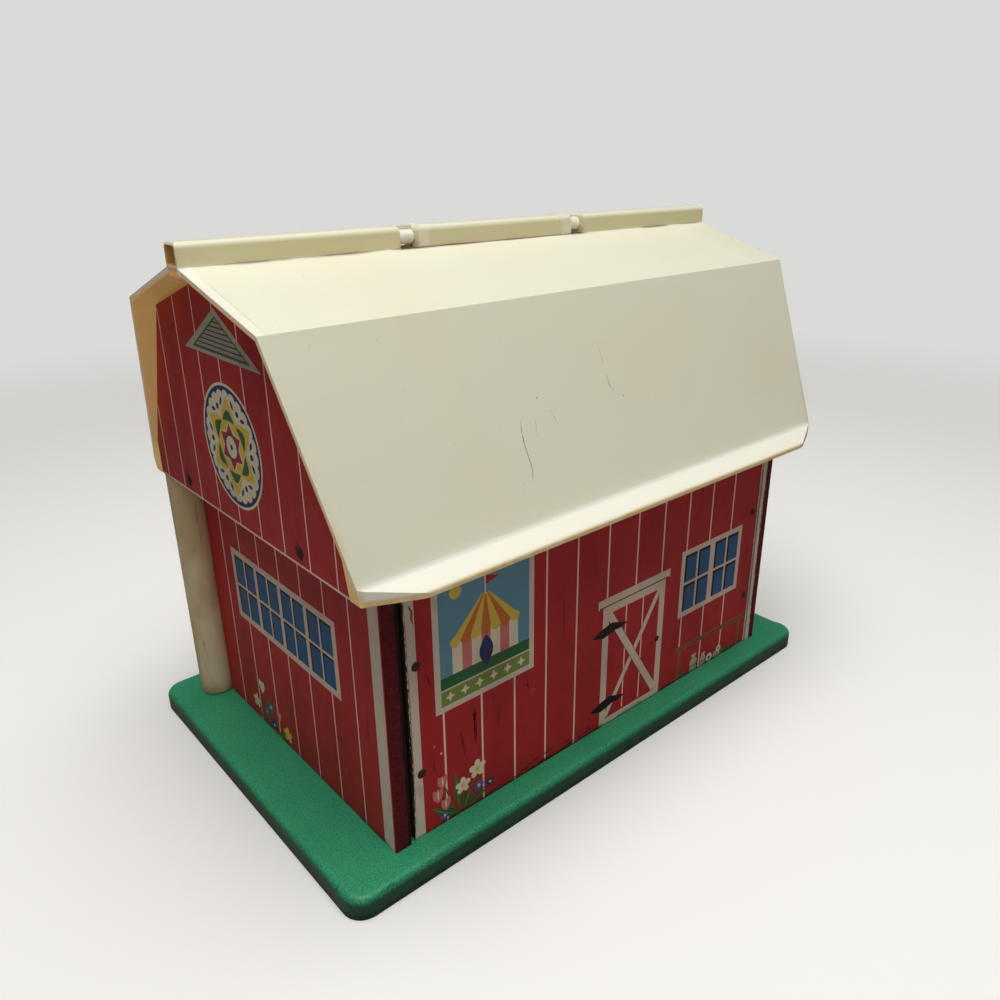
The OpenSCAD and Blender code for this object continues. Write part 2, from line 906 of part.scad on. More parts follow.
module door_rivets() {
    span = door_t + 2 * cheek_t;
    color("silver")
    for (z = rivet_zs)
        translate([rivet_x, tube_y, z])
            rotate([90, 0, 0]) {
                cylinder(d = rivet_d, h = span, center = true);
                for (s = [-1, 1])
                    translate([0, 0, s * (span + rivet_head_h) / 2])
                        cylinder(d = rivet_head_d, h = rivet_head_h, center = true);
            }
}

// Disc that sounds when the band pulls at it
module voice_diaphragm() {
    color("wheat")
    at_tube(diaphragm_z)
        difference() {
            cylinder(r = bore_r, h = diaphragm_t);
            translate([0, 0, -cut])
                cylinder(r = rod_d / 2 + 1.5, h = diaphragm_t + 2 * cut);
        }
}

// Band that slips round the spool's waist, with a link up to the diaphragm
module voice_band() {
    z0 = voice_z + (spool_h - band_h) / 2;
    link_x = spool_r + link_r + 0.4;
    inner = waist_r + band_clear;
    color("peru") {
        at_tube(z0)
            difference() {
                union() {
                    cylinder(r = inner + band_t, h = band_h);
                    translate([0, -link_r, 0])
                        cube([link_x + link_r, 2 * link_r, band_h]);
                }
                translate([0, 0, -cut])
                    cylinder(r = inner, h = band_h + 2 * cut);
            }
        at_tube(z0)
            translate([link_x, 0, 0])
                cylinder(r = link_r, h = diaphragm_z - z0);
    }
}

base_board();
left_gable_board();
right_gable_board();
back_wall_panel();
front_wall_panel();
corner_cleats();
door_jamb();
back_wall_nails();
front_wall_nails();
loft_floor();
loft_nails();
left_upper_gable();
right_upper_gable();
gable_nails();
near_roof();
roof_screws();
base_screws();
lifting_roof();
ridge_pins();
pivot_rod();
voice_spool();
door_tube();
tube_foot_bush();
tube_head_bush();
barn_door();
door_rivets();
voice_diaphragm();
voice_band();
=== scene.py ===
# Toy barn: camera, light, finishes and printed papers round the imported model.
# The dictionaries give lengths in millimetres; meshes are in metres.
# X runs along the ridge, the camera sees the back (-Y) and the left end (-X).
import math
import bpy
import numpy as np
from mathutils import Matrix, Vector


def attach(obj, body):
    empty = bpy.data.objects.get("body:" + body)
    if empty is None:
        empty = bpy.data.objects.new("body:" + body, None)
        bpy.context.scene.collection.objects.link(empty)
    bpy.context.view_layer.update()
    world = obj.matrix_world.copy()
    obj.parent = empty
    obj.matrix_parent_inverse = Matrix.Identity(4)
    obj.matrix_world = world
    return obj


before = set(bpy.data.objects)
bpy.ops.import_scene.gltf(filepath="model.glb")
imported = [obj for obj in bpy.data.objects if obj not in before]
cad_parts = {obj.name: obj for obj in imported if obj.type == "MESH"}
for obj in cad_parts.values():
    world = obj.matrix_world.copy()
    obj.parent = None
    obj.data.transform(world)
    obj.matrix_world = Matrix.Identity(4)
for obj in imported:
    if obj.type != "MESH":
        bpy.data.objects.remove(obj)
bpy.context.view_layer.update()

mm = 0.001
scene = bpy.context.scene
scene.view_settings.view_transform = "Standard"


def rgb(red, green, blue):
    # Written colour to linear light: a straight line in the darks, a 2.4 power above
    written = np.array([red, green, blue]) / 255
    linear = np.where(written <= 0.04045, written / 12.92, ((written + 0.055) / 1.055) ** 2.4)
    return (*linear.tolist(), 1.0)


camera = {
    "at": (-315.93, -369.89, 326.07),
    "turn": 40.68, "tilt": -22.19, "roll": -0.64,   # degrees
    "lens": 30.193, "sensor": 36.0,
}


def makeCamera(c):
    turn, tilt, roll = (math.radians(c[k]) for k in ("turn", "tilt", "roll"))
    ahead = np.array([math.sin(turn) * math.cos(tilt), math.cos(turn) * math.cos(tilt), math.sin(tilt)])
    side = np.array([math.cos(turn), -math.sin(turn), 0.0])
    up = np.cross(side, ahead)
    right = side * math.cos(roll) + up * math.sin(roll)
    top = up * math.cos(roll) - side * math.sin(roll)
    data = bpy.data.cameras.new("camera")
    data.lens, data.sensor_width = c["lens"], c["sensor"]
    data.clip_start, data.clip_end = 0.02, 50
    thing = bpy.data.objects.new("camera", data)
    scene.collection.objects.link(thing)
    pose = Matrix.Identity(4)
    for column, vector in enumerate((right, top, -ahead, np.array(c["at"]) * mm)):
        for row in range(3):
            pose[row][column] = vector[row]
    thing.matrix_world = pose
    scene.camera = thing


makeCamera(camera)

lights = {
    # Places and sizes in metres, power in watts
    "top": {"at": (-0.16, -0.22, 1.5), "aim": (0, 0, 0.12), "size": 1.1, "power": 16.8, "colour": (1.0, 0.985, 0.95)},
    "front": {"at": (-1.0, -1.45, 0.75), "aim": (0, 0, 0.12), "size": 1.0, "power": 3.5, "colour": (1.0, 0.98, 0.96)},
}


def makeLight(name, spec):
    data = bpy.data.lights.new(name, "AREA")
    data.shape, data.size, data.energy, data.color = "SQUARE", spec["size"], spec["power"], spec["colour"]
    thing = bpy.data.objects.new(name, data)
    scene.collection.objects.link(thing)
    away = Vector(spec["at"]) - Vector(spec["aim"])
    thing.rotation_mode = "QUATERNION"
    thing.rotation_quaternion = away.to_track_quat("Z", "Y")
    thing.location = spec["at"]


for lightName, lightSpec in lights.items():
    makeLight(lightName, lightSpec)


class Wire:
    # One socket; sums written with it add the material's Math nodes
    def __init__(self, finish, socket):
        self.finish = finish
        self.socket = socket

    def __add__(self, other):
        return self.finish.maths("ADD", self, other)

    def __radd__(self, other):
        return self.finish.maths("ADD", other, self)

    def __sub__(self, other):
        return self.finish.maths("SUBTRACT", self, other)

    def __rsub__(self, other):
        return self.finish.maths("SUBTRACT", other, self)

    def __mul__(self, other):
        return self.finish.maths("MULTIPLY", self, other)

    def __rmul__(self, other):
        return self.finish.maths("MULTIPLY", other, self)


class Finish:
    def __init__(self, name, world=None):
        if world is None:
            self.material = bpy.data.materials.new(name)
            self.material.use_nodes = True
        self.tree = (world or self.material).node_tree
        self.tree.nodes.clear()
        if world is None:
            self.place = self.node("TexCoord", out="Object")
            self.x, self.y, self.z = (self.node("SeparateXYZ", {}, {"Vector": self.place}, axis) for axis in "XYZ")

    def node(self, kind, settings=None, sockets=None, out=0):
        made = self.tree.nodes.new("ShaderNode" + kind)
        for key, value in (settings or {}).items():
            setattr(made, key, value)
        for key, value in (sockets or {}).items():
            if isinstance(value, Wire):
                self.tree.links.new(value.socket, made.inputs[key])
            else:
                made.inputs[key].default_value = value
        return Wire(self, made.outputs[out]) if made.outputs else None

    def maths(self, operation, *values):
        return self.node("Math", {"operation": operation}, dict(enumerate(values)))

    def size(self, value):
        return self.maths("ABSOLUTE", value)

    def fade(self, value, low, high):
        # 0 up to low, 1 from high on, an S-shaped climb between
        return self.node("MapRange", {"interpolation_type": "SMOOTHSTEP"},
                         {"Value": value, "From Min": low, "From Max": high})

    def drop(self, value, low, high):
        return 1.0 - self.fade(value, low, high)

    def near(self, value, middle, reach):
        # 1 at the middle, 0 at reach and beyond
        return self.drop(self.size(value - middle), 0.0, reach)

    def noise(self, grain, stretch=(1, 1, 1), detail=2.0, shift=0.0, rough=0.5):
        # Soft random field about 0.5; grain is the size of one lump in mm, drawn out by stretch
        scale = tuple(1 / (grain * mm * s) for s in stretch)
        moved = (shift, shift * 1.7, shift * 2.3)
        place = self.node("Mapping", {}, {"Vector": self.place, "Scale": scale, "Location": moved})
        return self.node("TexNoise", {}, {"Vector": place, "Scale": 1.0, "Detail": detail, "Roughness": rough})

    def blend(self, share, one, two):
        # Colour one at share 0, colour two at share 1; the sockets are the node's factor and its colour pair
        return self.node("Mix", {"data_type": "RGBA"}, {0: share, 6: one, 7: two}, 2)

    def relief(self, height, depth, under=None):
        sockets = {"Height": height, "Strength": 1.0, "Distance": depth * mm}
        if under is not None:
            sockets["Normal"] = under
        return self.node("Bump", {}, sockets)

    def close(self, sockets):
        shader = self.node("BsdfPrincipled", {}, sockets)
        self.node("OutputMaterial", {}, {"Surface": shader})
        return self.material


# A flat floor that turns up into a round backdrop
stage = {
    "flat": 1500, "bend": 700, "wall": 1600, "rings": 24, "spokes": 96, "sunk": 0.3,
    "floor": rgb(250, 250, 248), "far": rgb(218, 218, 216), "lift": rgb(92, 92, 92),
    "bounced": rgb(162, 158, 152), "ambient": 0.27,
    "clearFrom": 0.5, "clearTo": 1.4,   # metres from the middle, where lit floor gives way to even tone
}


def makeStage(s):
    # Profile: straight out to the flat radius, a quarter circle up, straight up; spun about Z
    turn = np.linspace(0, math.pi / 2, s["rings"])
    radius = np.concatenate([[1, s["flat"] * 0.5], s["flat"] + s["bend"] * np.sin(turn), [s["flat"] + s["bend"]]])
    height = np.concatenate([[0, 0], s["bend"] * (1 - np.cos(turn)), [s["bend"] + s["wall"]]]) - s["sunk"]
    around = np.linspace(0, 2 * math.pi, s["spokes"], endpoint=False)
    r, a = np.meshgrid(radius, around, indexing="ij")
    z = np.broadcast_to(height[:, None], r.shape)
    points = np.stack([r * np.cos(a), r * np.sin(a), z], -1).reshape(-1, 3) * mm
    rows, count = r.shape
    i, j = np.meshgrid(np.arange(rows - 1), np.arange(count), indexing="ij")
    k = (j + 1) % count
    faces = np.stack([i * count + j, (i + 1) * count + j, (i + 1) * count + k, i * count + k], -1).reshape(-1, 4)
    mesh = bpy.data.meshes.new("backdrop")
    mesh.from_pydata(points.tolist(), [], faces.tolist() + [list(range(count))])
    mesh.polygons.foreach_set("use_smooth", [True] * len(mesh.polygons))
    thing = bpy.data.objects.new("backdrop", mesh)
    scene.collection.objects.link(thing)
    paper = Finish("backdropPaper")
    seen = paper.node("LightPath", out="Is Camera Ray")
    away = paper.fade(paper.maths("SQRT", paper.x * paper.x + paper.y * paper.y), s["clearFrom"], s["clearTo"])
    colour = paper.blend(seen, s["bounced"], paper.blend(away, s["floor"], (0, 0, 0, 1)))
    glow = paper.blend(seen, (0, 0, 0, 1), paper.blend(away, s["lift"], s["far"]))
    mesh.materials.append(paper.close({"Base Color": colour, "Roughness": 0.9, "Specular IOR Level": 0.0,
                                       "Emission Color": glow, "Emission Strength": 1.0}))


makeStage(stage)
scene.world = bpy.data.worlds.new("studio")
scene.world.use_nodes = True
air = Finish("studio", scene.world)
sky = air.node("Background", {}, {"Color": (1.0, 1.0, 1.0, 1.0), "Strength": stage["ambient"]})
air.node("OutputWorld", {}, {"Surface": sky})
print("stage ready")

# Outer faces of the roof's two slopes: a point of each (across, up) and the outward direction
slopes = {"knee": (69.6, 264.4), "eave": (110, 167.6), "topOut": (0.2973, 0.9548), "steepOut": (0.9229, 0.3852)}

plastic = {
    "cream": rgb(241, 240, 218), "blotch": rgb(240, 232, 203), "white": rgb(250, 249, 238), "tan": rgb(230, 202, 136),
    "lip": rgb(208, 168, 100), "rail": rgb(226, 213, 160), "inside": rgb(236, 204, 142), "hollow": rgb(205, 150, 60),
    "grimeAndShade": rgb(112, 76, 34), "speck": rgb(150, 136, 106), "glow": rgb(255, 194, 108), "paintedGlow": 0.12, "roughness": 0.4,
    "hollowHalf": 4.6, "hollowFrom": 285.6, "hollowTo": 293.5, "hollowEnd": -170,
    "rimAt": 167.5, "rimFrom": 167.6, "rimLean": 6.5, "nearRim": -174.6, "nearRimFrom": 262,
    "railFoot": 284.2, "railTop": 294.2, "collars": (-52.6, 50.6), "collarHalf": 3.2, "gaps": (-61.5, 59.5),
}


def outside(f, across, corner, out):
    # Distance past a slope's outer face: the offset from a point of it, taken along its outward direction
    return (across - corner[0] * mm) * out[0] + (f.z - corner[1] * mm) * out[1]


def creamPlastic(name):
    p, f = plastic, Finish(name)
    across = f.size(f.y)
    colour = f.blend(f.fade(f.noise(70, detail=3), 0.45, 0.75) * 0.4, p["cream"], p["blotch"])
    colour = f.blend(f.drop(f.z, 168 * mm, 172 * mm) * 0.7, colour, p["white"])
    upRim = f.drop(f.x, (p["nearRim"] - 0.6) * mm, p["nearRim"] * mm)
    upRim = upRim * f.fade(f.z, p["nearRimFrom"] * mm, (p["nearRimFrom"] + 4) * mm)
    colour = f.blend(upRim * 0.6, colour, p["white"])
    patchy = f.fade(f.noise(20, detail=3, shift=3), 0.36, 0.62)
    # Worn ends: tan where the leaning rim is near, most of it on the lower third
    lean = math.tan(math.radians(p["rimLean"]))
    fromRim = (f.z - p["rimFrom"] * mm) * lean + p["rimAt"] * mm - f.size(f.x)
    lowThird = f.drop(f.z, 175 * mm, 205 * mm) * 0.6 + 0.08
    colour = f.blend(f.drop(fromRim, 0.2 * mm, 3.2 * mm) * (patchy * lowThird), colour, p["tan"])
    # Lip: white above, tan round the turn, brown spots below
    colour = f.blend(f.drop(f.z, 161.7 * mm, 163.4 * mm) * (patchy * 0.25 + 0.65), colour, p["tan"])
    spots = f.fade(f.noise(2.6, (2, 2, 1), 3, 9), 0.5, 0.62)
    colour = f.blend(f.drop(f.z, 161.5 * mm, 162.3 * mm) * spots * 0.35, colour, p["lip"])
    colour = f.blend(f.fade(f.z, (p["railFoot"] + 0.2) * mm, (p["railFoot"] + 1.2) * mm) * 0.75, colour, p["rail"])
    for collar in p["collars"]:
        block = f.drop(f.size(f.x - collar * mm), p["collarHalf"] * mm, (p["collarHalf"] + 0.4) * mm)
        block = block * f.fade(f.z, (p["railFoot"] + 0.4) * mm, (p["railFoot"] + 1) * mm)
        colour = f.blend(block * 0.4, colour, p["white"])
    # Painted highlight: the rail's top 3 mm turn back to pale cream, lighter than its sides where the light from above
    # falls
    colour = f.blend(f.fade(f.z, (p["railTop"] - 3) * mm, p["railTop"] * mm) * 0.85, colour, p["cream"])
    # Depth under the top and steep slopes' outer faces tells the inside from the outside
    top = outside(f, across, slopes["knee"], slopes["topOut"])
    steep = outside(f, across, slopes["eave"], slopes["steepOut"])
    depth = f.maths("MAXIMUM", top, steep)
    inside = f.drop(depth, -2.3 * mm, -1.2 * mm) * f.drop(f.z, 283 * mm, 284 * mm)
    # Painted light: the amber on the inside faces stands for light that comes through the thin shell
    colour = f.blend(inside * (patchy * 0.15 + 0.8), colour, p["inside"])
    # Painted shade: the orange inside the rail's open hollow stands for its shade, warmed by light through the plastic
    hollow = f.drop(across, p["hollowHalf"] * mm, (p["hollowHalf"] + 0.3) * mm)
    hollow = hollow * f.fade(f.z, (p["hollowFrom"] - 0.3) * mm, p["hollowFrom"] * mm)
    hollow = hollow * f.drop(f.z, p["hollowTo"] * mm, (p["hollowTo"] + 0.2) * mm)
    hollow = hollow * f.drop(f.x, p["hollowEnd"] * mm, (p["hollowEnd"] + 1) * mm)
    colour = f.blend(hollow * 0.85, colour, p["hollow"])
    # Painted shade: a dark line along the rail's foot and brown round the hinge gaps, where shade falls between the
    # parts
    foot = f.near(f.z, p["railFoot"] * mm, 0.9 * mm) * f.fade(f.noise(9, (3, 1, 1), shift=5), 0.35, 0.7)
    for gap in p["gaps"]:
        foot = f.maths("MAXIMUM", foot, f.near(f.x, gap * mm, 8.5 * mm) * f.drop(f.z, 286 * mm, 289 * mm)
                       * f.fade(f.z, 280 * mm, 283.6 * mm) * f.drop(across, 6.2 * mm, 9 * mm))
    colour = f.blend(foot * 0.75, colour, p["grimeAndShade"])
    speck = f.fade(f.noise(1.1, detail=1, shift=11), 0.74, 0.8)
    colour = f.blend(speck * 0.35, colour, p["speck"])
    skin = f.relief(f.noise(1.3, detail=1, shift=2), 0.012)
    skin = f.relief(f.noise(30, detail=1, shift=7), 0.35, skin)
    # Painted glow: an emission stands in for light that comes through the thin shell and warms its inside and its end
    # faces
    paintedGlow = f.maths("MAXIMUM", inside, f.drop(fromRim, 0.05 * mm, 0.3 * mm) * 0.55)
    rough = f.noise(18, shift=4) * 0.2 + (p["roughness"] - 0.1)
    return f.close({"Base Color": colour, "Roughness": rough, "Normal": skin,
                    "Emission Color": f.blend(paintedGlow, (0, 0, 0, 1), p["glow"]), "Emission Strength": p["paintedGlow"]})


pin = {"white": rgb(251, 249, 240), "blotch": rgb(238, 228, 196)}


def pinPlastic(name):
    p, f = pin, Finish(name)
    cloud = f.noise(9, detail=2)
    colour = f.blend(f.fade(cloud, 0.45, 0.7) * 0.5, p["white"], p["blotch"])
    return f.close({"Base Color": colour, "Roughness": cloud * 0.1 + 0.3,
                    "Normal": f.relief(f.noise(1.3, detail=1), 0.01)})


tube = {
    "pale": rgb(222, 206, 172), "tan": rgb(196, 172, 130), "grimeAndShade": rgb(96, 66, 36),
    "black": rgb(34, 22, 14), "foot": 12.0,
}


def tubePlastic(name):
    t, f = tube, Finish(name)
    cloud = f.noise(22, (1, 1, 2.5), 3, 8)
    colour = f.blend(f.fade(cloud, 0.36, 0.66), t["pale"], t["tan"])
    colour = f.blend(f.fade(f.noise(3, (1, 1, 6), 3, 5), 0.6, 0.78) * 0.4, colour, t["grimeAndShade"])
    # Painted shade: a black line at the foot where the tube stands on the base; above it the colour darkens towards the
    # bottom
    colour = f.blend(f.drop(f.z, (t["foot"] + 0.3) * mm, (t["foot"] + 1.2) * mm) * 0.9, colour, t["black"])
    colour = f.blend(f.drop(f.z, (t["foot"] + 1) * mm, (t["foot"] + 9) * mm) * 0.35, colour, t["grimeAndShade"])
    return f.close({"Base Color": colour, "Roughness": cloud * 0.2 + 0.35,
                    "Normal": f.relief(f.noise(1.2, detail=1), 0.01)})


green = {
    "deep": rgb(34, 128, 90), "mid": rgb(64, 178, 130), "pale": rgb(160, 232, 200), "side": rgb(10, 44, 28),
    "worn": rgb(18, 30, 22), "size": (184, 116.5), "middle": 4.5, "sideTop": 11.2,
}


def greenPaint(name):
    # Sprayed paint with a pebbled skin: pale flecks on the pebbles, partly the paint's speckle and partly painted
    # glints, with painted shade darker between them
    g, f = green, Finish(name)
    pebble = f.noise(0.85, detail=2, rough=0.6)
    fine = f.noise(0.45, detail=2, shift=7, rough=0.6)
    colour = f.blend(f.fade(pebble, 0.2, 0.66), g["deep"], g["mid"])
    colour = f.blend(f.fade(fine, 0.6, 0.74) * 0.6, colour, g["pale"])
    colour = f.blend(f.fade(f.noise(60, detail=3, shift=9), 0.4, 0.75) * 0.3, colour, g["deep"])
    # Painted shade: the upright sides and the lower part of the rounded edge are darkened, as light from above leaves
    # them in shade
    upright = f.drop(f.z + (pebble - 0.5) * 2 * mm, (g["sideTop"] - 3.5) * mm, (g["sideTop"] + 1) * mm)
    colour = f.blend(upright * 0.85, colour, g["side"])
    # Scuffs gather on the rim and the lower arris
    fromEdge = f.maths("MINIMUM", g["size"][0] * mm - f.size(f.x), g["size"][1] * mm - f.size(f.y - g["middle"] * mm))
    rim = f.drop(fromEdge, 0.5 * mm, 5 * mm)
    scuff = f.fade(f.noise(4, detail=4, shift=2, rough=0.7), 0.6, 0.68) * rim
    low = f.drop(f.z + f.noise(7, detail=3, shift=6) * 6 * mm, 4.5 * mm, 7 * mm)
    colour = f.blend(f.maths("MAXIMUM", scuff * 0.55, low * 0.75), colour, g["worn"])
    skin = f.relief(pebble, 0.14)
    return f.close({"Base Color": colour, "Roughness": 0.26 + fine * 0.2,
                    "Specular IOR Level": 0.35, "Normal": f.relief(fine, 0.05, skin)})


edge = {
    "red": rgb(122, 16, 30), "dark": rgb(66, 8, 18), "chip": rgb(170, 110, 104), "fresh": rgb(188, 148, 102),
    "black": rgb(16, 8, 8), "stripe": rgb(214, 198, 180), "aged": rgb(158, 116, 74),
    "bare": 142.9, "stripeEnd": 142.2, "stripeFace": 95.5, "inner": (144, 92),
}


def boardEdge(name):
    # Dark red sawn edges outside with a ragged black border of painted shade on the gap side; plain board inside the
    # barn
    e, f = edge, Finish(name)
    fleck = f.noise(0.9, detail=3, rough=0.65)
    red = f.blend(f.fade(fleck, 0.4, 0.66), e["dark"], e["red"])
    red = f.blend(f.fade(f.noise(1.1, detail=2, shift=5), 0.7, 0.78) * 0.5, red, e["chip"])
    ragged = f.noise(2.2, (1, 1, 2.4), 4, 8, 0.7)
    border = f.drop(f.size(f.x) - ragged * 2.4 * mm, (e["bare"] - 1.1) * mm, (e["bare"] - 0.5) * mm)
    red = f.blend(border, red, e["black"])
    # At the near right corner the white end stripe of the wall runs round onto the board
    stripe = f.drop(f.x, e["stripeEnd"] * mm, (e["stripeEnd"] + 0.2) * mm) * f.fade(f.x, 0.0, 10 * mm)
    stripe = stripe * f.fade(0.0 - f.y, e["stripeFace"] * mm, (e["stripeFace"] + 0.2) * mm)
    red = f.blend(stripe, red, e["stripe"])
    wood = f.blend(f.fade(f.noise(2.4, (1, 1, 14), 3, 2), 0.35, 0.7), e["fresh"], e["aged"])
    side, face = e["inner"]
    inner = f.drop(f.size(f.x), side * mm, (side + 0.6) * mm) * f.drop(f.size(f.y), face * mm, (face + 1) * mm)
    return f.close({"Base Color": f.blend(inner, red, wood), "Roughness": 0.6 + fleck * 0.3,
                    "Specular IOR Level": 0.25, "Normal": f.relief(fleck, 0.22)})


corner = {"side": (137.4, 138.6), "face": (86, 90), "black": rgb(16, 8, 8), "share": 0.93}


def cornerShade(f, colour):
    # Painted shade: blackens what shows in the gap at the near corners
    gap = f.fade(f.size(f.x), *(x * mm for x in corner["side"])) * f.fade(0.0 - f.y, *(y * mm for y in corner["face"]))
    return f.blend(gap * corner["share"], colour, corner["black"])


board = {"deep": rgb(94, 58, 36), "mid": rgb(128, 84, 54), "cloud": rgb(76, 44, 28)}


def hardBoard(name):
    # Brown fibre board, painted almost black with shade on the edges that show in the corner gap
    b, f = board, Finish(name)
    fibre = f.noise(0.7, (2, 2, 2), 3, 1, 0.65)
    brown = f.blend(f.fade(fibre, 0.35, 0.65), b["deep"], b["mid"])
    brown = f.blend(f.fade(f.noise(30, detail=3, shift=3), 0.4, 0.7) * 0.4, brown, b["cloud"])
    brown = cornerShade(f, brown)
    return f.close({"Base Color": brown, "Roughness": 0.6 + fibre * 0.25, "Normal": f.relief(fibre, 0.06)})


timber = {"light": rgb(206, 164, 112), "dark": rgb(160, 112, 66), "band": rgb(132, 88, 52), "drawn": 22}


def pineWood(name, along, light=timber["light"], dark=timber["dark"]):
    # Grain lines are noise drawn out along one axis
    f = Finish(name)
    stretch = [timber["drawn"] if axis == along else 1 for axis in "XYZ"]
    grain = f.noise(2.2, stretch, 4, 2, 0.6)
    broad = f.noise(14, stretch, 2, 5)
    colour = f.blend(f.fade(grain, 0.34, 0.66) * 0.8, light, dark)
    colour = cornerShade(f, f.blend(f.fade(broad, 0.5, 0.7) * 0.45, colour, timber["band"]))
    return f.close({"Base Color": colour, "Roughness": 0.55 + grain * 0.2, "Normal": f.relief(grain, 0.08)})


steel = {
    "bright": rgb(188, 188, 186), "dull": rgb(150, 150, 150),
    "old": rgb(36, 26, 23), "rust": rgb(96, 54, 32), "pit": rgb(22, 16, 15), "rustyMetal": 0.35,
}


def rustySteel(name):
    t, f = steel, Finish(name)
    fleck = f.noise(0.7, detail=4, rough=0.7)
    colour = f.blend(f.fade(fleck, 0.4, 0.66), t["old"], t["rust"])
    colour = f.blend(f.fade(f.noise(1.6, shift=6), 0.6, 0.7) * 0.6, colour, t["pit"])
    return f.close({"Base Color": colour, "Metallic": t["rustyMetal"], "Roughness": 0.45 + fleck * 0.3,
                    "Normal": f.relief(fleck, 0.08)})


def plainSteel(name):
    t, f = steel, Finish(name)
    drawn = f.noise(0.5, (1, 1, 20), 2)
    colour = f.blend(f.fade(drawn, 0.3, 0.7), t["bright"], t["dull"])
    return f.close({"Base Color": colour, "Metallic": 1.0, "Roughness": 0.22 + drawn * 0.2,
                    "Normal": f.relief(drawn, 0.01)})


def cloudy(name, one, two):
    # Plain small pieces: two close colours in soft clouds
    f = Finish(name)
    cloud = f.noise(2.5, detail=3)
    return f.close({"Base Color": f.blend(f.fade(cloud, 0.35, 0.7), one, two), "Roughness": 0.45 + cloud * 0.2,
                    "Normal": f.relief(cloud, 0.03)})


paper = {
    "stain": rgb(104, 62, 40), "shade": rgb(66, 6, 14), "scuff": rgb(222, 204, 190),
    "foot": rgb(30, 14, 12), "roughness": 0.5,
}


def printedPaper(name):
    # Ink from the mesh's colours; alpha says how much of the printed wood grain shows through
    p, f = paper, Finish(name)
    ink = f.node("Attribute", {"attribute_name": "ink"}, {}, "Color")
    grainy = f.node("Attribute", {"attribute_name": "ink"}, {}, "Alpha")
    colour = f.blend(f.fade(f.noise(34, (1, 1, 1.6), 3, 1), 0.4, 0.72) * 0.22, ink, p["shade"])
    streak = f.fade(f.noise(0.7, (1, 1, 22), 3, 3, 0.6), 0.54, 0.76) * grainy
    colour = f.blend(streak * 0.35, colour, p["shade"])
    stain = f.fade(f.noise(7, (1, 1, 2.6), 4, 6, 0.65), 0.57, 0.8)
    colour = f.blend(stain * 0.35, colour, p["stain"])
    # Darker at the wall's foot: worn dirt there, and painted shade where the paper meets the base
    foot = f.drop(f.z + f.noise(6, detail=3, shift=8) * 8 * mm, 15 * mm, 19 * mm)
    colour = f.blend(foot * 0.7, colour, p["foot"])
    chip = f.fade(f.noise(1.6, detail=2, shift=12), 0.775, 0.8)
    colour = f.blend(chip * 0.8, colour, p["scuff"])
    weave = f.noise(0.35, detail=2, shift=5)
    rough = f.noise(9, shift=2) * 0.2 + (p["roughness"] - 0.1) + stain * 0.1
    return f.close({"Base Color": colour, "Roughness": rough,
                    "Specular IOR Level": 0.22, "Normal": f.relief(weave, 0.008)})


def scratchMark(name):
    f = Finish(name)
    ink = f.node("Attribute", {"attribute_name": "ink"}, {}, "Color")
    worn = f.noise(2, detail=2)
    colour = f.blend(f.fade(worn, 0.45, 0.7) * 0.6, ink, plastic["cream"])
    return f.close({"Base Color": colour, "Roughness": 0.4 + worn * 0.2})


finishes = {
    "green": greenPaint("greenPaint"), "edge": boardEdge("redBoardEdge"), "hardboard": hardBoard("hardboard"),
    "pineX": pineWood("pineAlongX", "X"), "pineZ": pineWood("pineAlongZ", "Z"),
    "beech": pineWood("turnedBeech", "Z", rgb(150, 96, 54), rgb(104, 60, 30)),
    "rust": rustySteel("rustySteel"), "steel": plainSteel("plainSteel"),
    "roof": creamPlastic("roofPlastic"), "pin": pinPlastic("pinPlastic"), "tube": tubePlastic("tubePlastic"),
    "bush": cloudy("bushPlastic", rgb(70, 52, 36), rgb(92, 70, 48)),
    "card": cloudy("diaphragmCard", rgb(206, 190, 158), rgb(180, 160, 124)),
    "paper": printedPaper("printedPaper"), "scratch": scratchMark("scratchMark"),
}
nodeFinish = {
    "base_board": "green", "left_gable_board": "edge", "right_gable_board": "edge", "back_wall_panel": "hardboard",
    "front_wall_panel": "hardboard", "corner_cleats": "pineZ", "door_jamb": "pineZ", "back_wall_nails": "rust",
    "front_wall_nails": "rust", "loft_floor": "pineX", "loft_nails": "rust", "left_upper_gable": "hardboard",
    "right_upper_gable": "hardboard", "gable_nails": "rust", "near_roof": "roof", "roof_screws": "steel",
    "base_screws": "steel", "lifting_roof": "roof", "ridge_pins": "pin", "pivot_rod": "steel", "voice_spool": "beech",
    "door_tube": "tube", "tube_foot_bush": "bush", "tube_head_bush": "bush", "barn_door": "hardboard",
    "door_rivets": "steel", "voice_diaphragm": "card", "voice_band": "bush",
}
for nodeName, finishName in nodeFinish.items():
    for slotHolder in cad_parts[nodeName].material_slots:
        slotHolder.material = finishes[finishName]
print("finishes on", len(nodeFinish), "nodes")


# Flat outlines, in mm: across to the right as seen from outside, up from the table
def bar(left, low, right, high):
    return np.array([[left, low], [right, low], [right, high], [left, high]], float)


def strip(start, end, width):
    # Rectangle about the line from start to end
    start, end = np.array(start, float), np.array(end, float)
    side = np.array([start[1] - end[1], end[0] - start[0]]) / np.linalg.norm(end - start) * width / 2
    return np.array([start - side, end - side, end + side, start + side])


def wheel(centre, radius, count=48):
    # Circle: centre plus radius times (cos, sin) of the turn; radius may be one number per point
    turn = np.linspace(0, 2 * math.pi, count, endpoint=False)
    return np.array(centre) + np.stack([np.cos(turn), np.sin(turn)], -1) * np.broadcast_to(radius, count)[:, None]


def blossom(centre, inner, outer, petals, turned=0.0):
    # Radius swings between inner and outer once for each petal, rounded outside and pointed inside
    turn = np.linspace(0, 2 * math.pi, petals * 10, endpoint=False)
    return wheel(centre, inner + (outer - inner) * np.abs(np.cos(petals * (turn - turned) / 2)) ** 0.6, petals * 10)


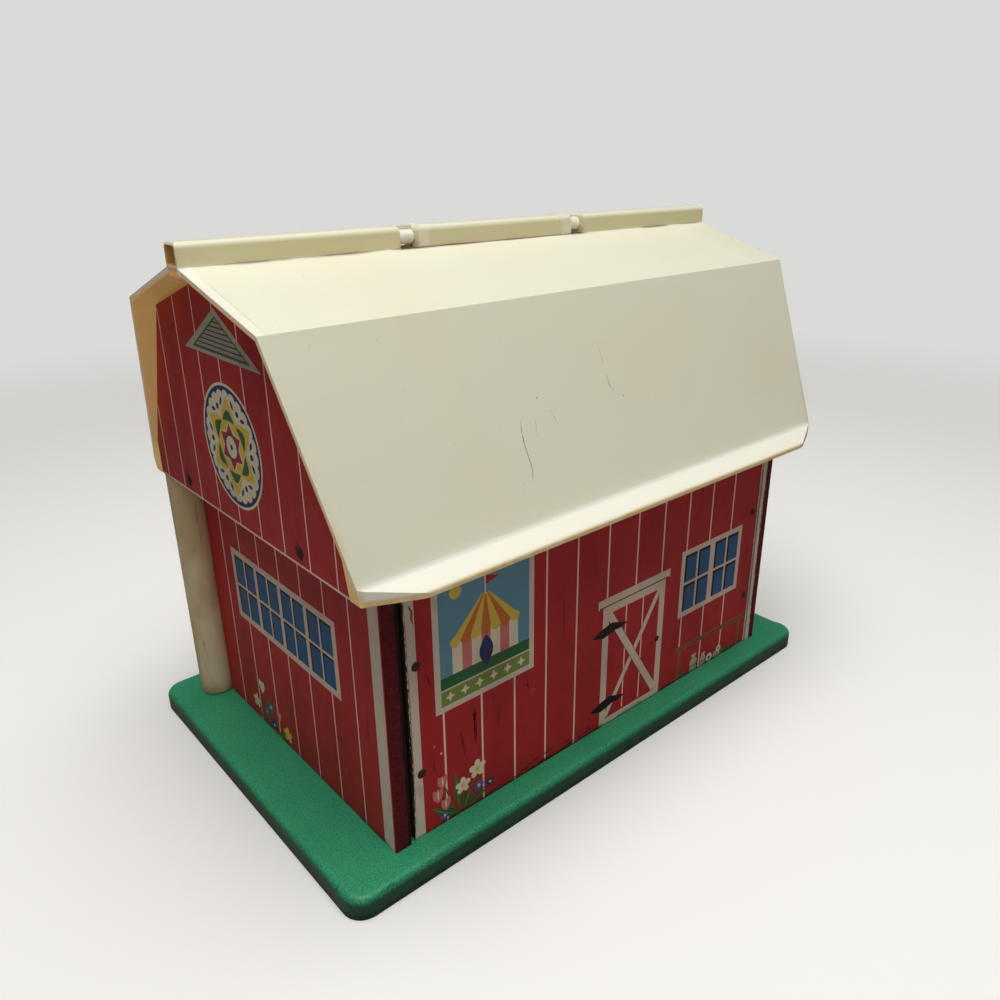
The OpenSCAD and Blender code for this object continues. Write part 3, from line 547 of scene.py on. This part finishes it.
def star(centre, outer, inner, points, turned=math.pi / 2):
    turn = turned + np.arange(2 * points) * math.pi / points
    reach = np.where(np.arange(2 * points) % 2 == 0, outer, inner)
    return np.array(centre) + np.stack([np.cos(turn), np.sin(turn)], -1) * reach[:, None]


def leaf(start, end, width, bend=0.0, count=9):
    # Two arcs between the ends: half the width times a half sine to each side of a bent middle line
    u = np.linspace(0, 1, count)[:, None]
    start, end = np.array(start, float), np.array(end, float)
    along = end - start
    side = np.array([-along[1], along[0]]) / np.linalg.norm(along)
    middle = start + along * u + side * bend * np.sin(math.pi * u)
    swell = side * width / 2 * np.sin(math.pi * u)
    return np.concatenate([middle - swell, (middle + swell)[-2:0:-1]])


def crack(path, width, seed=0, sway=0.2):
    # Pen line through the given points, swaying a little and drawn out thin at both ends
    chance = np.random.default_rng(seed)
    path = np.array(path, float)
    reach = np.concatenate([[0], np.cumsum(np.linalg.norm(np.diff(path, axis=0), axis=1))])
    u = np.linspace(0, reach[-1], max(6, int(reach[-1] / 1.5)))
    middle = np.stack([np.interp(u, reach, path[:, 0]), np.interp(u, reach, path[:, 1])], -1)
    along = np.gradient(middle, axis=0)
    side = np.stack([-along[:, 1], along[:, 0]], -1) / np.linalg.norm(along, axis=1)[:, None]
    middle = middle + side * chance.normal(0, sway, len(u))[:, None]
    swell = side * (width / 2 * np.sin(math.pi * u / u[-1]) ** 0.5 * chance.uniform(0.6, 1.3, len(u)))[:, None]
    return np.concatenate([middle - swell, (middle + swell)[-2:0:-1]])


inks = {
    "red": rgb(180, 38, 44), "line": rgb(246, 208, 196), "white": rgb(220, 206, 190), "grain": rgb(58, 6, 12),
    "trim": rgb(224, 200, 184), "blue": rgb(44, 94, 142), "black": rgb(16, 14, 18), "sky": rgb(104, 152, 176),
    "green": rgb(128, 150, 74), "yellow": rgb(226, 196, 84), "leaf": rgb(48, 104, 62), "navy": rgb(36, 58, 108),
    "pink": rgb(214, 122, 122), "cream": rgb(232, 222, 196), "violet": rgb(84, 96, 172), "fence": rgb(140, 88, 60),
    "slat": rgb(160, 166, 160), "brown": rgb(92, 40, 28), "orange": rgb(208, 116, 52), "teal": rgb(62, 122, 124),
    "stain": rgb(150, 104, 66), "frame": rgb(186, 182, 164), "scratch": rgb(126, 110, 80),
    "hairline": rgb(176, 160, 124), "hingeSlotShade": rgb(104, 66, 26),
}


def grainStrokes(left, low, right, high, columns, seed, often=2):
    # Printed cracks: thin upright pen lines in little groups, most boards nearly plain
    chance = np.random.default_rng(seed)
    marks = []
    for column in range(columns):
        x0 = left + (right - left) * column / columns
        for _ in range(chance.integers(0, often + 1)):
            x = x0 + chance.uniform(0.15, 0.85) * (right - left) / columns
            length = chance.uniform(5, 22)
            z = chance.uniform(low, high - length)
            path = [(x, z), (x + chance.uniform(-1, 1), z + length)]
            marks.append((crack(path, chance.uniform(0.25, 0.5), 5), "grain", 0.0))
    return marks


def window(left, low, right, high, sashes, rows, trim, mullion, muntin=1.8, shadow=1.8):
    # Pale frame; every pane is a black shadow with blue glass shifted down and right over it
    marks = [(bar(left, low, right, high), "trim", 0.0)]
    wide = (right - left - 2 * trim - (sashes - 1) * mullion) / sashes
    pane = (wide - muntin) / 2
    tall = (high - low - 2 * trim - (rows - 1) * muntin) / rows
    for sash in range(sashes):
        for half in range(2):
            for row in range(rows):
                x = left + trim + sash * (wide + mullion) + half * (pane + muntin)
                z = low + trim + row * (tall + muntin)
                marks.append((bar(x, z, x + pane, z + tall), "black", 0.0))
                marks.append((bar(x + shadow, z, x + pane, z + tall - shadow), "blue", 0.0))
    return marks


def boardLines(places, low, high, width=1.2):
    return [(bar(x - width / 2, low, x + width / 2, high), "line", 0.35) for x in places]


def hinge(x, z):
    # Spear-shaped strap: long kite with a straight upper edge and a small notch below
    across = np.array([-15.2, -6.5, 0.8, 15.1, 7.2, 3.8, -6.3])
    up = np.array([-0.3, 3.2, 4.7, -0.1, -1.7, -1.3, -3.4])
    return [(np.stack([x + across, z + up], -1), "black", 0.0)]


def plankDoor(left, low, right, high, lintel=None, stile=5.0, rail=5.5, brace=4.4, lines=2):
    # Two crossed braces, each with a thin brown outline, then stiles and rails over their ends
    marks = [(bar(left, low, right, high), "red", 1.0)]
    gap = (right - left - 2 * stile) / (lines + 1)
    for n in range(lines):
        x = left + stile + gap * (n + 1)
        marks.append((bar(x - 0.5, low + rail, x + 0.5, high - rail), "line", 0.3))
    (a, b), (c, d) = (left + stile, right - stile), (low + rail, high - rail)
    for start, end, width in (((a, c), (b, d), brace * 0.8), ((a, d), (b, c), brace + 0.4)):
        marks += [(strip(start, end, width + 0.8), "brown", 0.0), (strip(start, end, width), "trim", 0.0)]
    marks += [(bar(left, low, left + stile, high), "trim", 0.0), (bar(right - stile, low, right, high), "trim", 0.0),
              (bar(left + stile, high - rail, right - stile, high), "trim", 0.0),
              (bar(left + stile, low, right - stile, low + rail * 0.75), "trim", 0.0)]
    if lintel:
        marks += [(bar(left - lintel, high - 0.5, right + lintel, high + 5), "trim", 0.0),
                  (bar(left - lintel + 1, high - 0.5, right + lintel - 1, high + 0.2), "black", 0.0)]
    return marks


def fence(left, low, right, rail):
    # Two posts and a sagging rail
    return [(bar(left + 2, low, left + 5.2, rail), "fence", 0.6), (bar(right - 6, low, right - 3, rail), "fence", 0.6),
            (strip((left, rail), (right, rail - 2.2), 3.6), "fence", 0.6),
            (strip((left, rail - 0.4), (right, rail - 2.6), 0.4), "brown", 0.0)]


def churn(x, z, tall):
    # Plain milk can: straight body, sloping shoulder, narrow neck and flared lid
    across = np.array([-0.26, 0.26, 0.28, 0.14, 0.14, 0.2, 0.2, -0.2, -0.2, -0.14, -0.14, -0.28]) * tall
    up = np.array([0, 0, 0.6, 0.78, 0.88, 0.92, 1, 1, 0.92, 0.88, 0.78, 0.6]) * tall
    return [(np.stack([x + across, z + up], -1), "frame", 0.3),
            (bar(x + 0.1 * tall, z, x + 0.25 * tall, z + 0.58 * tall), "slat", 0.0),
            (bar(x - 0.27 * tall, z + 0.3 * tall, x + 0.27 * tall, z + 0.36 * tall), "brown", 0.0)]


def tuft(x, z, size):
    # Five blades, the middle one tallest
    marks = []
    for k in (-2, -1, 0, 1, 2):
        tip = (x + k * 1.6 * size, z + size * (4 - abs(k)))
        marks.append((leaf((x + k * 0.5 * size, z), tip, 0.9 * size, 0.3 * k), "leaf", 0.0))
    return marks


def posy(root, flowers, leaves):
    # Stems from one root; tulips are three petals, blossoms five round ones, asters eight points
    marks = []
    for kind, x, z, r, ink in flowers:
        start = (root[0] + (x - root[0]) * 0.35, root[1])
        marks.append((leaf(start, (x, z), 1.0, (x - root[0]) * 0.06), "leaf", 0.0))
    for start, end, wide in leaves:
        marks.append((leaf(start, end, wide, wide * 0.2), "leaf", 0.0))
        marks.append((leaf(start, end, wide * 0.16, wide * 0.2), "green", 0.0))
    for kind, x, z, r, ink in flowers:
        if kind == "tulip":
            for side in (-1, 1, 0):
                marks.append((leaf((x, z - r), (x + side * r * 0.65, z + r), r * 0.95, side * 0.1 * r), ink, 0.0))
            marks.append((leaf((x, z - r * 0.7), (x, z + r * 0.8), r * 0.22), "cream", 0.0))
        elif kind == "blossom":
            marks += [(blossom((x, z), r * 0.4, r, 5, 0.3), ink, 0.0), (wheel((x, z), r * 0.28, 12), "yellow", 0.0)]
        else:
            marks += [(star((x, z), r, r * 0.5, 8), ink, 0.0), (wheel((x, z), r * 0.24, 10), "cream", 0.0)]
    return marks


def poster(left, low, right, high):
    # Blue picture of a plain striped tent over a green band of lozenges
    marks = [(bar(left, low, right, high), "white", 0.0), (bar(left + 3.6, low + 12.5, right - 3.4, high), "sky", 0.0),
             (bar(left + 3.6, low + 3.2, right - 3.4, low + 11.6), "green", 0.0)]
    middle, foot, eave, peak, half = (left + right) / 2, low + 19, low + 36, low + 56, 21.0
    marks.append((bar(left + 3.6, foot - 6.5, right - 3.4, foot), "leaf", 0.0))
    marks.append((wheel((left + 14, high - 11), 3.6, 24), "yellow", 0.0))
    stripes = 7

    def fields(reach):
        ends = [middle + reach * (2 * k / stripes - 1) for k in range(stripes + 1)]
        return list(zip(range(stripes), ends[:-1], ends[1:]))
    for n, x0, x1 in fields(half):
        marks.append((bar(x0, foot, x1, eave), ("cream", "pink")[n % 2], 0.0))
    for n, x0, x1 in fields(half * 1.06):
        marks.append((wheel(((x0 + x1) / 2, eave), half / stripes, 16), ("yellow", "orange")[n % 2], 0.0))
    for n, x0, x1 in fields(half * 1.06):
        top = [[middle + (x - middle) * 0.1, peak] for x in (x1, x0)]
        marks.append((np.array([[x0, eave], [x1, eave], *top]), ("yellow", "orange")[n % 2], 0.0))
    marks.append((leaf((middle, foot - 4), (middle, foot + 14), 9), "navy", 0.0))
    marks.append((bar(middle - 0.4, peak - 1, middle + 0.4, peak + 9), "cream", 0.0))
    marks.append((np.array([[middle + 0.4, peak + 9], [middle + 0.4, peak + 4], [middle + 9, peak + 6.5]]), "red", 0.0))
    for x in left + 9 + np.arange(6) * (right - left - 18) / 5:
        marks.append((star((x, low + 7.4), 3.0, 1.3, 4), "cream", 0.0))
    return marks


def vent(apex, left, right, slats=7):
    # Louvred triangle: wide pale border, thin green line, slats shaded brown along their lower edges
    apex, left, right = (np.array(p, float) for p in (apex, left, right))
    centre = (apex + left + right) / 3

    def shrunk(share):
        return np.array([centre + (p - centre) * share for p in (left, right, apex)])
    marks = [(shrunk(1.0), "frame", 0.2), (shrunk(0.765), "leaf", 0.0), (shrunk(0.70), "slat", 0.0)]
    a, b, peak = shrunk(0.70)
    for n in range(slats):
        ends = []
        for share in ((n + 0.05) / slats, (n + 0.34) / slats):
            ends += [a + (peak - a) * share, b + (peak - b) * share]
        marks.append((np.array([ends[0], ends[1], ends[3], ends[2]]), "brown", 0.0))
    return marks


def rosette(centre, radius):
    # Compass-drawn barn star: six long petals, short leaves between, rings of dots
    c = np.array(centre, float)

    def ray(turn, reach):
        return c + np.array([math.cos(turn), math.sin(turn)]) * reach * radius
    marks = [(wheel(c, radius, 72), "cream", 0.0), (wheel(c, radius * 0.955, 72), "navy", 0.0),
             (blossom(c, radius * 0.84, radius * 0.9, 24), "cream", 0.0)]
    for n in range(6):
        turn = math.pi / 2 + n * math.pi / 3
        middle = turn + math.pi / 6
        marks.append((leaf(ray(turn, 0), ray(turn, 0.8), radius * 0.46, 0, 13), "yellow", 0.0))
        marks.append((wheel(ray(middle, 0.68), radius * 0.05, 14), "navy", 0.0))
        for side in (-1, 1):
            start, end = ray(turn + side * 0.36, 0.66), ray(turn + side * 0.2, 0.78)
            marks.append((leaf(start, end, radius * 0.07), "navy", 0.0))
    for n in range(6):
        turn = math.pi / 2 + n * math.pi / 3
        start, end = ray(turn - 0.47, 0.45), ray(turn + 0.47, 0.45)
        marks.append((leaf(start, end, radius * 0.17, -radius * 0.1, 13), "leaf", 0.0))
    marks += [(star(c, radius * 0.42, radius * 0.27, 6), "cream", 0.0),
              (star(c, radius * 0.385, radius * 0.245, 6), "red", 0.0),
              (wheel(c, radius * 0.215, 32), "navy", 0.0), (wheel(c, radius * 0.18, 32), "cream", 0.0),
              (wheel(c, radius * 0.045, 12), "brown", 0.0)]
    return marks


# A sheet's thickness, the height of one level of ink, and how far a mark's foot is sunk
sheets = {"thick": 0.12, "step": 0.01, "sunk": 0.03}


def levelsOf(shapes):
    # A mark lies one step above the highest earlier mark whose box meets its own
    low = np.array([shape.min(0) for shape in shapes])
    high = np.array([shape.max(0) for shape in shapes])
    levels = np.zeros(len(shapes), int)
    for n in range(1, len(shapes)):
        met = np.all((low[:n] < high[n] - 0.01) & (high[:n] > low[n] + 0.01), axis=1)
        levels[n] = 1 + np.max(levels[:n][met], initial=0)
    return levels


def printSheet(name, outline, marks, origin, across, body, up=(0, 0, 1), finish="paper",
               ink="red"):
    # Each outline becomes a closed slab; a slab's level sets how far its face stands out
    across, up = np.array(across, float), np.array(up, float)
    out = np.cross(across, up)
    points, faces, colours, count = [], [], [], 0
    layers = ([(outline, ink, 1.0)] if outline is not None else []) + marks
    base = sheets["thick"] if outline is not None else 0.0
    for (shape, hue, grain), level in zip(layers, levelsOf([layer[0] for layer in layers])):
        turned = np.roll(shape, -1, 0)
        if np.sum(shape[:, 0] * turned[:, 1] - turned[:, 0] * shape[:, 1]) < 0:
            shape = shape[::-1]
        n = len(shape)
        low = 0.0 if level == 0 and base else base - sheets["sunk"]
        high = base + sheets["step"] * (level + (0 if base else 1))
        flat = np.array(origin) + shape[:, :1] * across + shape[:, 1:] * up
        points.append(np.concatenate([flat + out * low, flat + out * high]))
        i = np.arange(n)
        k = (i + 1) % n
        sides = np.stack([i, k, k + n, i + n], -1) + count
        faces += [(np.arange(n)[::-1] + count).tolist(), (np.arange(n, 2 * n) + count).tolist()] + sides.tolist()
        colours.append(np.tile([*inks[hue][:3], grain], (2 * n, 1)))
        count += 2 * n
    mesh = bpy.data.meshes.new(name)
    mesh.from_pydata((np.concatenate(points) * mm).tolist(), [], faces)
    layer = mesh.color_attributes.new("ink", "FLOAT_COLOR", "POINT")
    layer.data.foreach_set("color", np.concatenate(colours).ravel())
    mesh.materials.append(finishes[finish])
    piece = bpy.data.objects.new(name, mesh)
    scene.collection.objects.link(piece)
    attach(piece, body)
    print(name, len(marks), "marks")


# Foot and top of the lower papers, then the plane of each papered face
wall = {
    "low": 12.05, "high": 159.9, "back": -96.5, "edge": -97.45, "gable": 151.0,
    "upper": 166.5, "front": 95.1, "door": 98.6,
}
backLines = [-118.5, -94.6, -72.5, -50.0, -27.3, -3.0, 21.2, 44.3, 67.3, 90.0, 112.3]
lowGableLines = [-67.6, -44.5, -21.4, 1.7, 24.8, 47.9, 71.0]
upGableLines = [0.9 + 23.05 * n for n in range(-4, 5)]
gableOutline = np.array([[-101.8, 160.05], [101.8, 160.05], [101.8, 178.9], [68.3, 259.2], [3.9, 279.2], [-3.9, 279.2],
                         [-68.3, 259.2], [-101.8, 178.9]])

backCracks = [
    ([(-128, 106), (-126.6, 101), (-125.7, 96)], 0.8), ([(-109.5, 63.8), (-107.6, 55), (-106.3, 46.2)], 0.9),
    ([(-99.9, 74.6), (-99.3, 62), (-99.6, 50.1)], 0.9), ([(-87.1, 77), (-87, 70.3)], 0.6),
    ([(-84.3, 67.2), (-83.7, 52.6)], 0.7), ([(-65.2, 78.6), (-64.9, 72.9)], 0.6),
    ([(-63.5, 72.2), (-63.5, 66)], 0.6), ([(-125.4, 54.2), (-125.5, 45.7)], 0.7),
    ([(61, 52), (62.2, 44), (61.6, 37)], 0.7), ([(104, 56), (104.6, 46)], 0.6), ([(132.4, 92), (133, 74)], 0.7),
    ([(-38, 112), (-37.2, 98), (-37.6, 90)], 0.7), ([(-14, 132), (-13.5, 120)], 0.6), ([(78, 150), (78.6, 132)], 0.7),
]
footWear = [
    [(-76, 14.2), (-60, 15.2)], [(-64, 16.6), (-55, 17)], [(-58, 13.6), (-44, 14.6)], [(-52, 17.6), (-43, 18.2)],
    [(-40, 13.6), (-26, 15)], [(-34, 16.8), (-29, 17.6)], [(-24, 14.2), (-11, 15.6)], [(-18, 17.4), (-13, 18)],
    [(10, 21), (23, 17.4)], [(19, 24.4), (30, 22)], [(27, 17), (38, 20)], [(14, 15), (26, 14.2)],
]
backMarks = boardLines(backLines, wall["low"], wall["high"])
for n, (path, width) in enumerate(backCracks):
    backMarks.append((crack(path, width * 0.55, n), "grain", 0.0))
for n, (path, width) in enumerate(backCracks):
    # Each crack has a thinner echo beside it
    backMarks.append((crack([(x + 0.9, z - 1.5) for x, z in path], width * 0.35, n + 40), "grain", 0.0))
backMarks += [(crack(path, 1.0, n + 80, 0.4), "black", 0.0) for n, path in enumerate(footWear)]
backMarks += [(bar(-138.75, wall["low"], -132.5, wall["high"]), "white", 0.25),
              (bar(140.3, wall["low"], 141.55, wall["high"]), "white", 0.25),
              (crack([(140.3, 14), (140.4, 80), (140.2, 158)], 0.5, 7, 0.1), "brown", 0.0),
              (crack([(-138.6, 14), (-138.3, 60), (-138.7, 100), (-138.4, 158)], 1.2, 3, 0.12), "black", 0.0),
              (crack([(-137.7, 20), (-137.4, 90), (-137.8, 150)], 0.5, 6, 0.15), "stain", 0.0),
              (crack([(-134.9, 143.8), (-133.8, 138), (-133.2, 132.6)], 1.3, 4, 0.3), "stain", 0.0),
              (wheel((-59.7, 63.9), 1.5, 18), "stain", 0.0), (wheel((-59.7, 63.9), 1.0, 18), "red", 1.0),
              # Painted shade: a thin black line along the wall's foot where it meets the base
              (crack([(-138, 12.7), (-60, 12.6), (0, 12.8), (70, 12.6), (141, 12.7)], 0.9, 5, 0.1), "black", 0.0),
              (blossom((-124.7, 61.6), 0.4, 0.8, 5), "pink", 0.0), (blossom((-120.9, 55.7), 0.3, 0.7, 5), "cream", 0.0)]
backMarks += poster(-123, 78.4, -59, 152)
backMarks += plankDoor(-6, 12.6, 48.5, 93.5, lintel=4) + hinge(1, 76.6) + hinge(1, 26.6)
backMarks += [(wheel((43.7, 53.5), 1.9, 16), "black", 0.0), (wheel((43.4, 53.9), 0.7, 10), "brown", 0.0)]
backMarks += window(63.3, 59.2, 125.3, 105.3, 2, 2, 3.6, 5.0) + fence(64.5, 12.2, 138, 35.8)
backMarks += [(wheel((x, z), r, 20), ink, 0.0) for x, z, r, ink in (
    (101.5, 15.4, 3.2, "cream"), (101.5, 15.4, 1.2, "brown"), (108.4, 14.9, 2.7, "slat"), (111.6, 18.3, 2.4, "cream"),
    (111.6, 18.3, 0.9, "brown"), (115.5, 15.2, 2.6, "fence"))]
backMarks += churn(84, 12.4, 13) + churn(94.5, 12.3, 10) + tuft(121, 12.4, 1.6) + tuft(74, 12.4, 1.2)
backMarks += posy((-110, 13), [
    ("tulip", -124, 31, 4.4, "pink"), ("tulip", -119.4, 23.3, 4.0, "pink"), ("tulip", -121, 38, 4.0, "pink"),
    ("blossom", -98.5, 34.3, 5.6, "cream"), ("blossom", -108.2, 28.9, 5.0, "cream"), ("aster", -97.7, 22.9, 4.2, "violet"),
    ("aster", -90.2, 21.2, 3.6, "navy"), ("aster", -120.3, 16.8, 3.0, "violet"),
], [((-110, 14), (-112.6, 40), 3.6), ((-110, 13), (-121, 21), 4.4), ((-108, 13), (-102, 24), 4.6),
    ((-104, 13), (-93, 18), 3.8), ((-112, 13), (-128, 25), 3.6)])
printSheet("backWallPaper", bar(-138.8, wall["low"], 141.6, wall["high"]), backMarks,
           (0, wall["back"], 0), (1, 0, 0), "barn")

# The white end stripe runs on over the end board's edge, with a ragged dark line of painted shade where they meet
printSheet("rightStripePaper", bar(141.62, wall["low"], 145.9, wall["high"]),
           [(bar(141.66, wall["low"] + 0.1, 145.86, wall["high"] - 0.1), "white", 0.25),
            (crack([(145.4, 14), (145.6, 60), (145.3, 100), (145.5, 158)], 0.9, 8, 0.12), "brown", 0.0)],
           (0, wall["edge"], 0), (1, 0, 0), "barn")

gableFlowers = [
    ("tulip", -39.8, 38.0, 4.6, "cream"), ("blossom", -49.3, 23.5, 4.8, "cream"), ("aster", -30.1, 28.5, 5.0, "teal"),
    ("aster", -28.1, 17.2, 4.4, "navy"), ("blossom", -11.1, 19.8, 5.0, "yellow"), ("tulip", -20.4, 27.5, 3.6, "pink"),
    ("aster", -37.0, 22.0, 3.8, "violet"),
]
gableLeaves = [
    ((-32, 13), (-36, 34), 3.0), ((-34, 13), (-47, 18), 3.4), ((-30, 13), (-21, 21), 3.4), ((-26, 13), (-13, 15.5), 2.8),
]


def flipped(flowers, leaves):
    return ([(kind, -x, z, r, ink) for kind, x, z, r, ink in flowers],
            [((-start[0], start[1]), (-end[0], end[1]), wide) for start, end, wide in leaves])


def lowGablePaper(name, side, front):
    # The back's end strip is at the sheet's right on the left gable and at its left on the right one
    toBack = -side
    ends = sorted([97.45 * toBack, -front * toBack])
    marks = grainStrokes(ends[0] + 2, 14, ends[1] - 2, 158, 9, 20 + side)
    marks += boardLines([x * toBack for x in lowGableLines], wall["low"], wall["high"], 1.05)
    stripe = sorted([88.0 * toBack, 96.6 * toBack])
    marks += [(bar(stripe[0], wall["low"], stripe[1], wall["high"]), "white", 0.25)]
    flowers = (gableFlowers, gableLeaves) if side < 0 else flipped(gableFlowers, gableLeaves)
    marks += window(-57, 79.6, 57, 124.0, 4, 2, 3.8, 3.4, 1.6, 1.3) + posy((-30 * toBack, 13), *flowers)
    printSheet(name, bar(ends[0], wall["low"], ends[1], wall["high"]), marks,
               (side * wall["gable"], 0, 0), (0, side, 0), "barn")


def highGablePaper(name, side):
    marks = grainStrokes(-66, 163, 66, 256, 6, 31 + side)
    # The upright lines end on the sloping edge: its height comes by straight lines between the corners
    across, height = gableOutline[2:5][::-1].T
    for x in upGableLines:
        end = np.interp(abs(x) + 0.7, across, height)
        marks.append((bar(x - 0.5, 161.2, x + 0.5, min(end, 279.0)), "line", 0.3))
    marks.append((bar(-101.7, 160.1, 101.7, 161.2), "line", 0.2))
    for nail in (-61, 61):
        marks.append((blossom((nail, 167), 3.0, 3.9, 7), "grain", 0.0))
        marks.append((crack([(nail - 1, 170), (nail - 1.6, 174)], 0.6, 3), "black", 0.0))
    marks += vent((2.7, 266), (-36.5, 243.3), (44.2, 243.2)) + rosette((3.0, 201.2), 30.8)
    printSheet(name, gableOutline, marks, (side * wall["upper"], 0, 0), (0, side, 0), "barn")


lowGablePaper("leftGablePaper", -1, 87.7)
lowGablePaper("rightGablePaper", 1, 97.4)
highGablePaper("leftUpperPaper", -1)
highGablePaper("rightUpperPaper", 1)

frontMarks = grainStrokes(-134, 14, -24, 158, 5, 7)
frontMarks += boardLines([-118.5, -95.4, -72.3, -49.2, -26.1], wall["low"], wall["high"])
frontMarks += [(bar(-141.55, wall["low"], -136, wall["high"]), "white", 0.25)]
frontMarks += window(-117, 59.2, -55, 105.3, 2, 2, 3.6, 5.0)
frontMarks += posy((-90, 13), [
    ("tulip", -100, 30, 4.2, "pink"), ("blossom", -88, 34, 5.2, "cream"), ("aster", -79, 24, 4, "violet"),
    ("tulip", -71, 31, 3.8, "pink"), ("aster", -107, 20, 3.2, "navy"),
], [((-90, 13), (-97, 22), 4.2), ((-88, 13), (-81, 17), 4), ((-92, 13), (-106, 15), 3.4)])
printSheet("frontWallPaper", bar(-141.6, wall["low"], -14.3, wall["high"]), frontMarks,
           (0, wall["front"], 0), (-1, 0, 0), "barn")

doorMarks = grainStrokes(-16, 16, 126, 156, 6, 9)
for left, right in ((-22, 55.5), (55.5, 132.9)):
    doorMarks += plankDoor(left, 13.3, right, 158.7, stile=7, rail=8, brace=6.5)
printSheet("doorPaper", bar(-22.1, 13.2, 133.0, 158.8), doorMarks, (0, wall["door"], 0), (-1, 0, 0), "door")

# Scratches on the near roof half, drawn on its two slopes from the knee line
scratches = {
    "steep": [
        ([(-62.9, -55), (-64.3, -60.5), (-64.7, -65.2), (-64.5, -69.6), (-63.9, -77), (-64.1, -80.8), (-65.6, -85.3)],
         0.42, "scratch"),
        ([(-54.2, -56.8), (-56, -66.6)], 0.24, "hairline"), ([(-43.5, -53.5), (-41, -63.4)], 0.22, "hairline"),
        ([(-1, -28.7), (-0.2, -39.2)], 0.24, "hairline"),
        ([(-0.4, -43.9), (0.2, -50.3), (1.3, -52.6), (3.7, -54.4)], 0.28, "scratch"),
    ],
    "dots": [(-49.8, -47.8), (8, -57.3)],
    "top": [([(-175.5, 57.3), (-174.8, 30), (-173.9, 1.9)], 0.24, "hairline")],
}


def scratchSheet(name, lines, sway, out, dots=()):
    # Up along the slope is its outward direction (across, up) turned a quarter: (up, across) in Y and Z
    marks = [(crack(path, width, n, sway), ink, 0.0) for n, (path, width, ink) in enumerate(lines)]
    marks += [(wheel(place, 0.4, 10), "scratch", 0.0) for place in dots]
    knee = (0, -slopes["knee"][0], slopes["knee"][1])
    printSheet(name, None, marks, knee, (1, 0, 0), "barn", (0, out[1], out[0]), "scratch")


scratchSheet("steepScratches", scratches["steep"], 0.06, slopes["steepOut"], scratches["dots"])
scratchSheet("topHairline", scratches["top"], 0.05, slopes["topOut"])

# Painted shade: a dark brown sheet fills the slot under the left hinge pin, a ragged bead on the near roof half's edge
# The top edge dips by two absolute sines of different pitch
bead = {"left": -66.9, "right": -56.2, "foot": 284.25, "top": 285.6, "y": -0.5}
beadX = np.linspace(bead["right"], bead["left"], 16)
beadTop = bead["top"] - 0.22 * np.abs(np.sin(beadX * 2.3)) - 0.12 * np.abs(np.sin(beadX * 5.1))
beadFoot = [[bead["left"], bead["foot"]], [bead["right"], bead["foot"]]]
printSheet("hingeSlotShadeSheet", np.concatenate([beadFoot, np.stack([beadX, beadTop], -1)]), [],
           (0, bead["y"], 0), (1, 0, 0), "barn", finish="scratch", ink="hingeSlotShade")
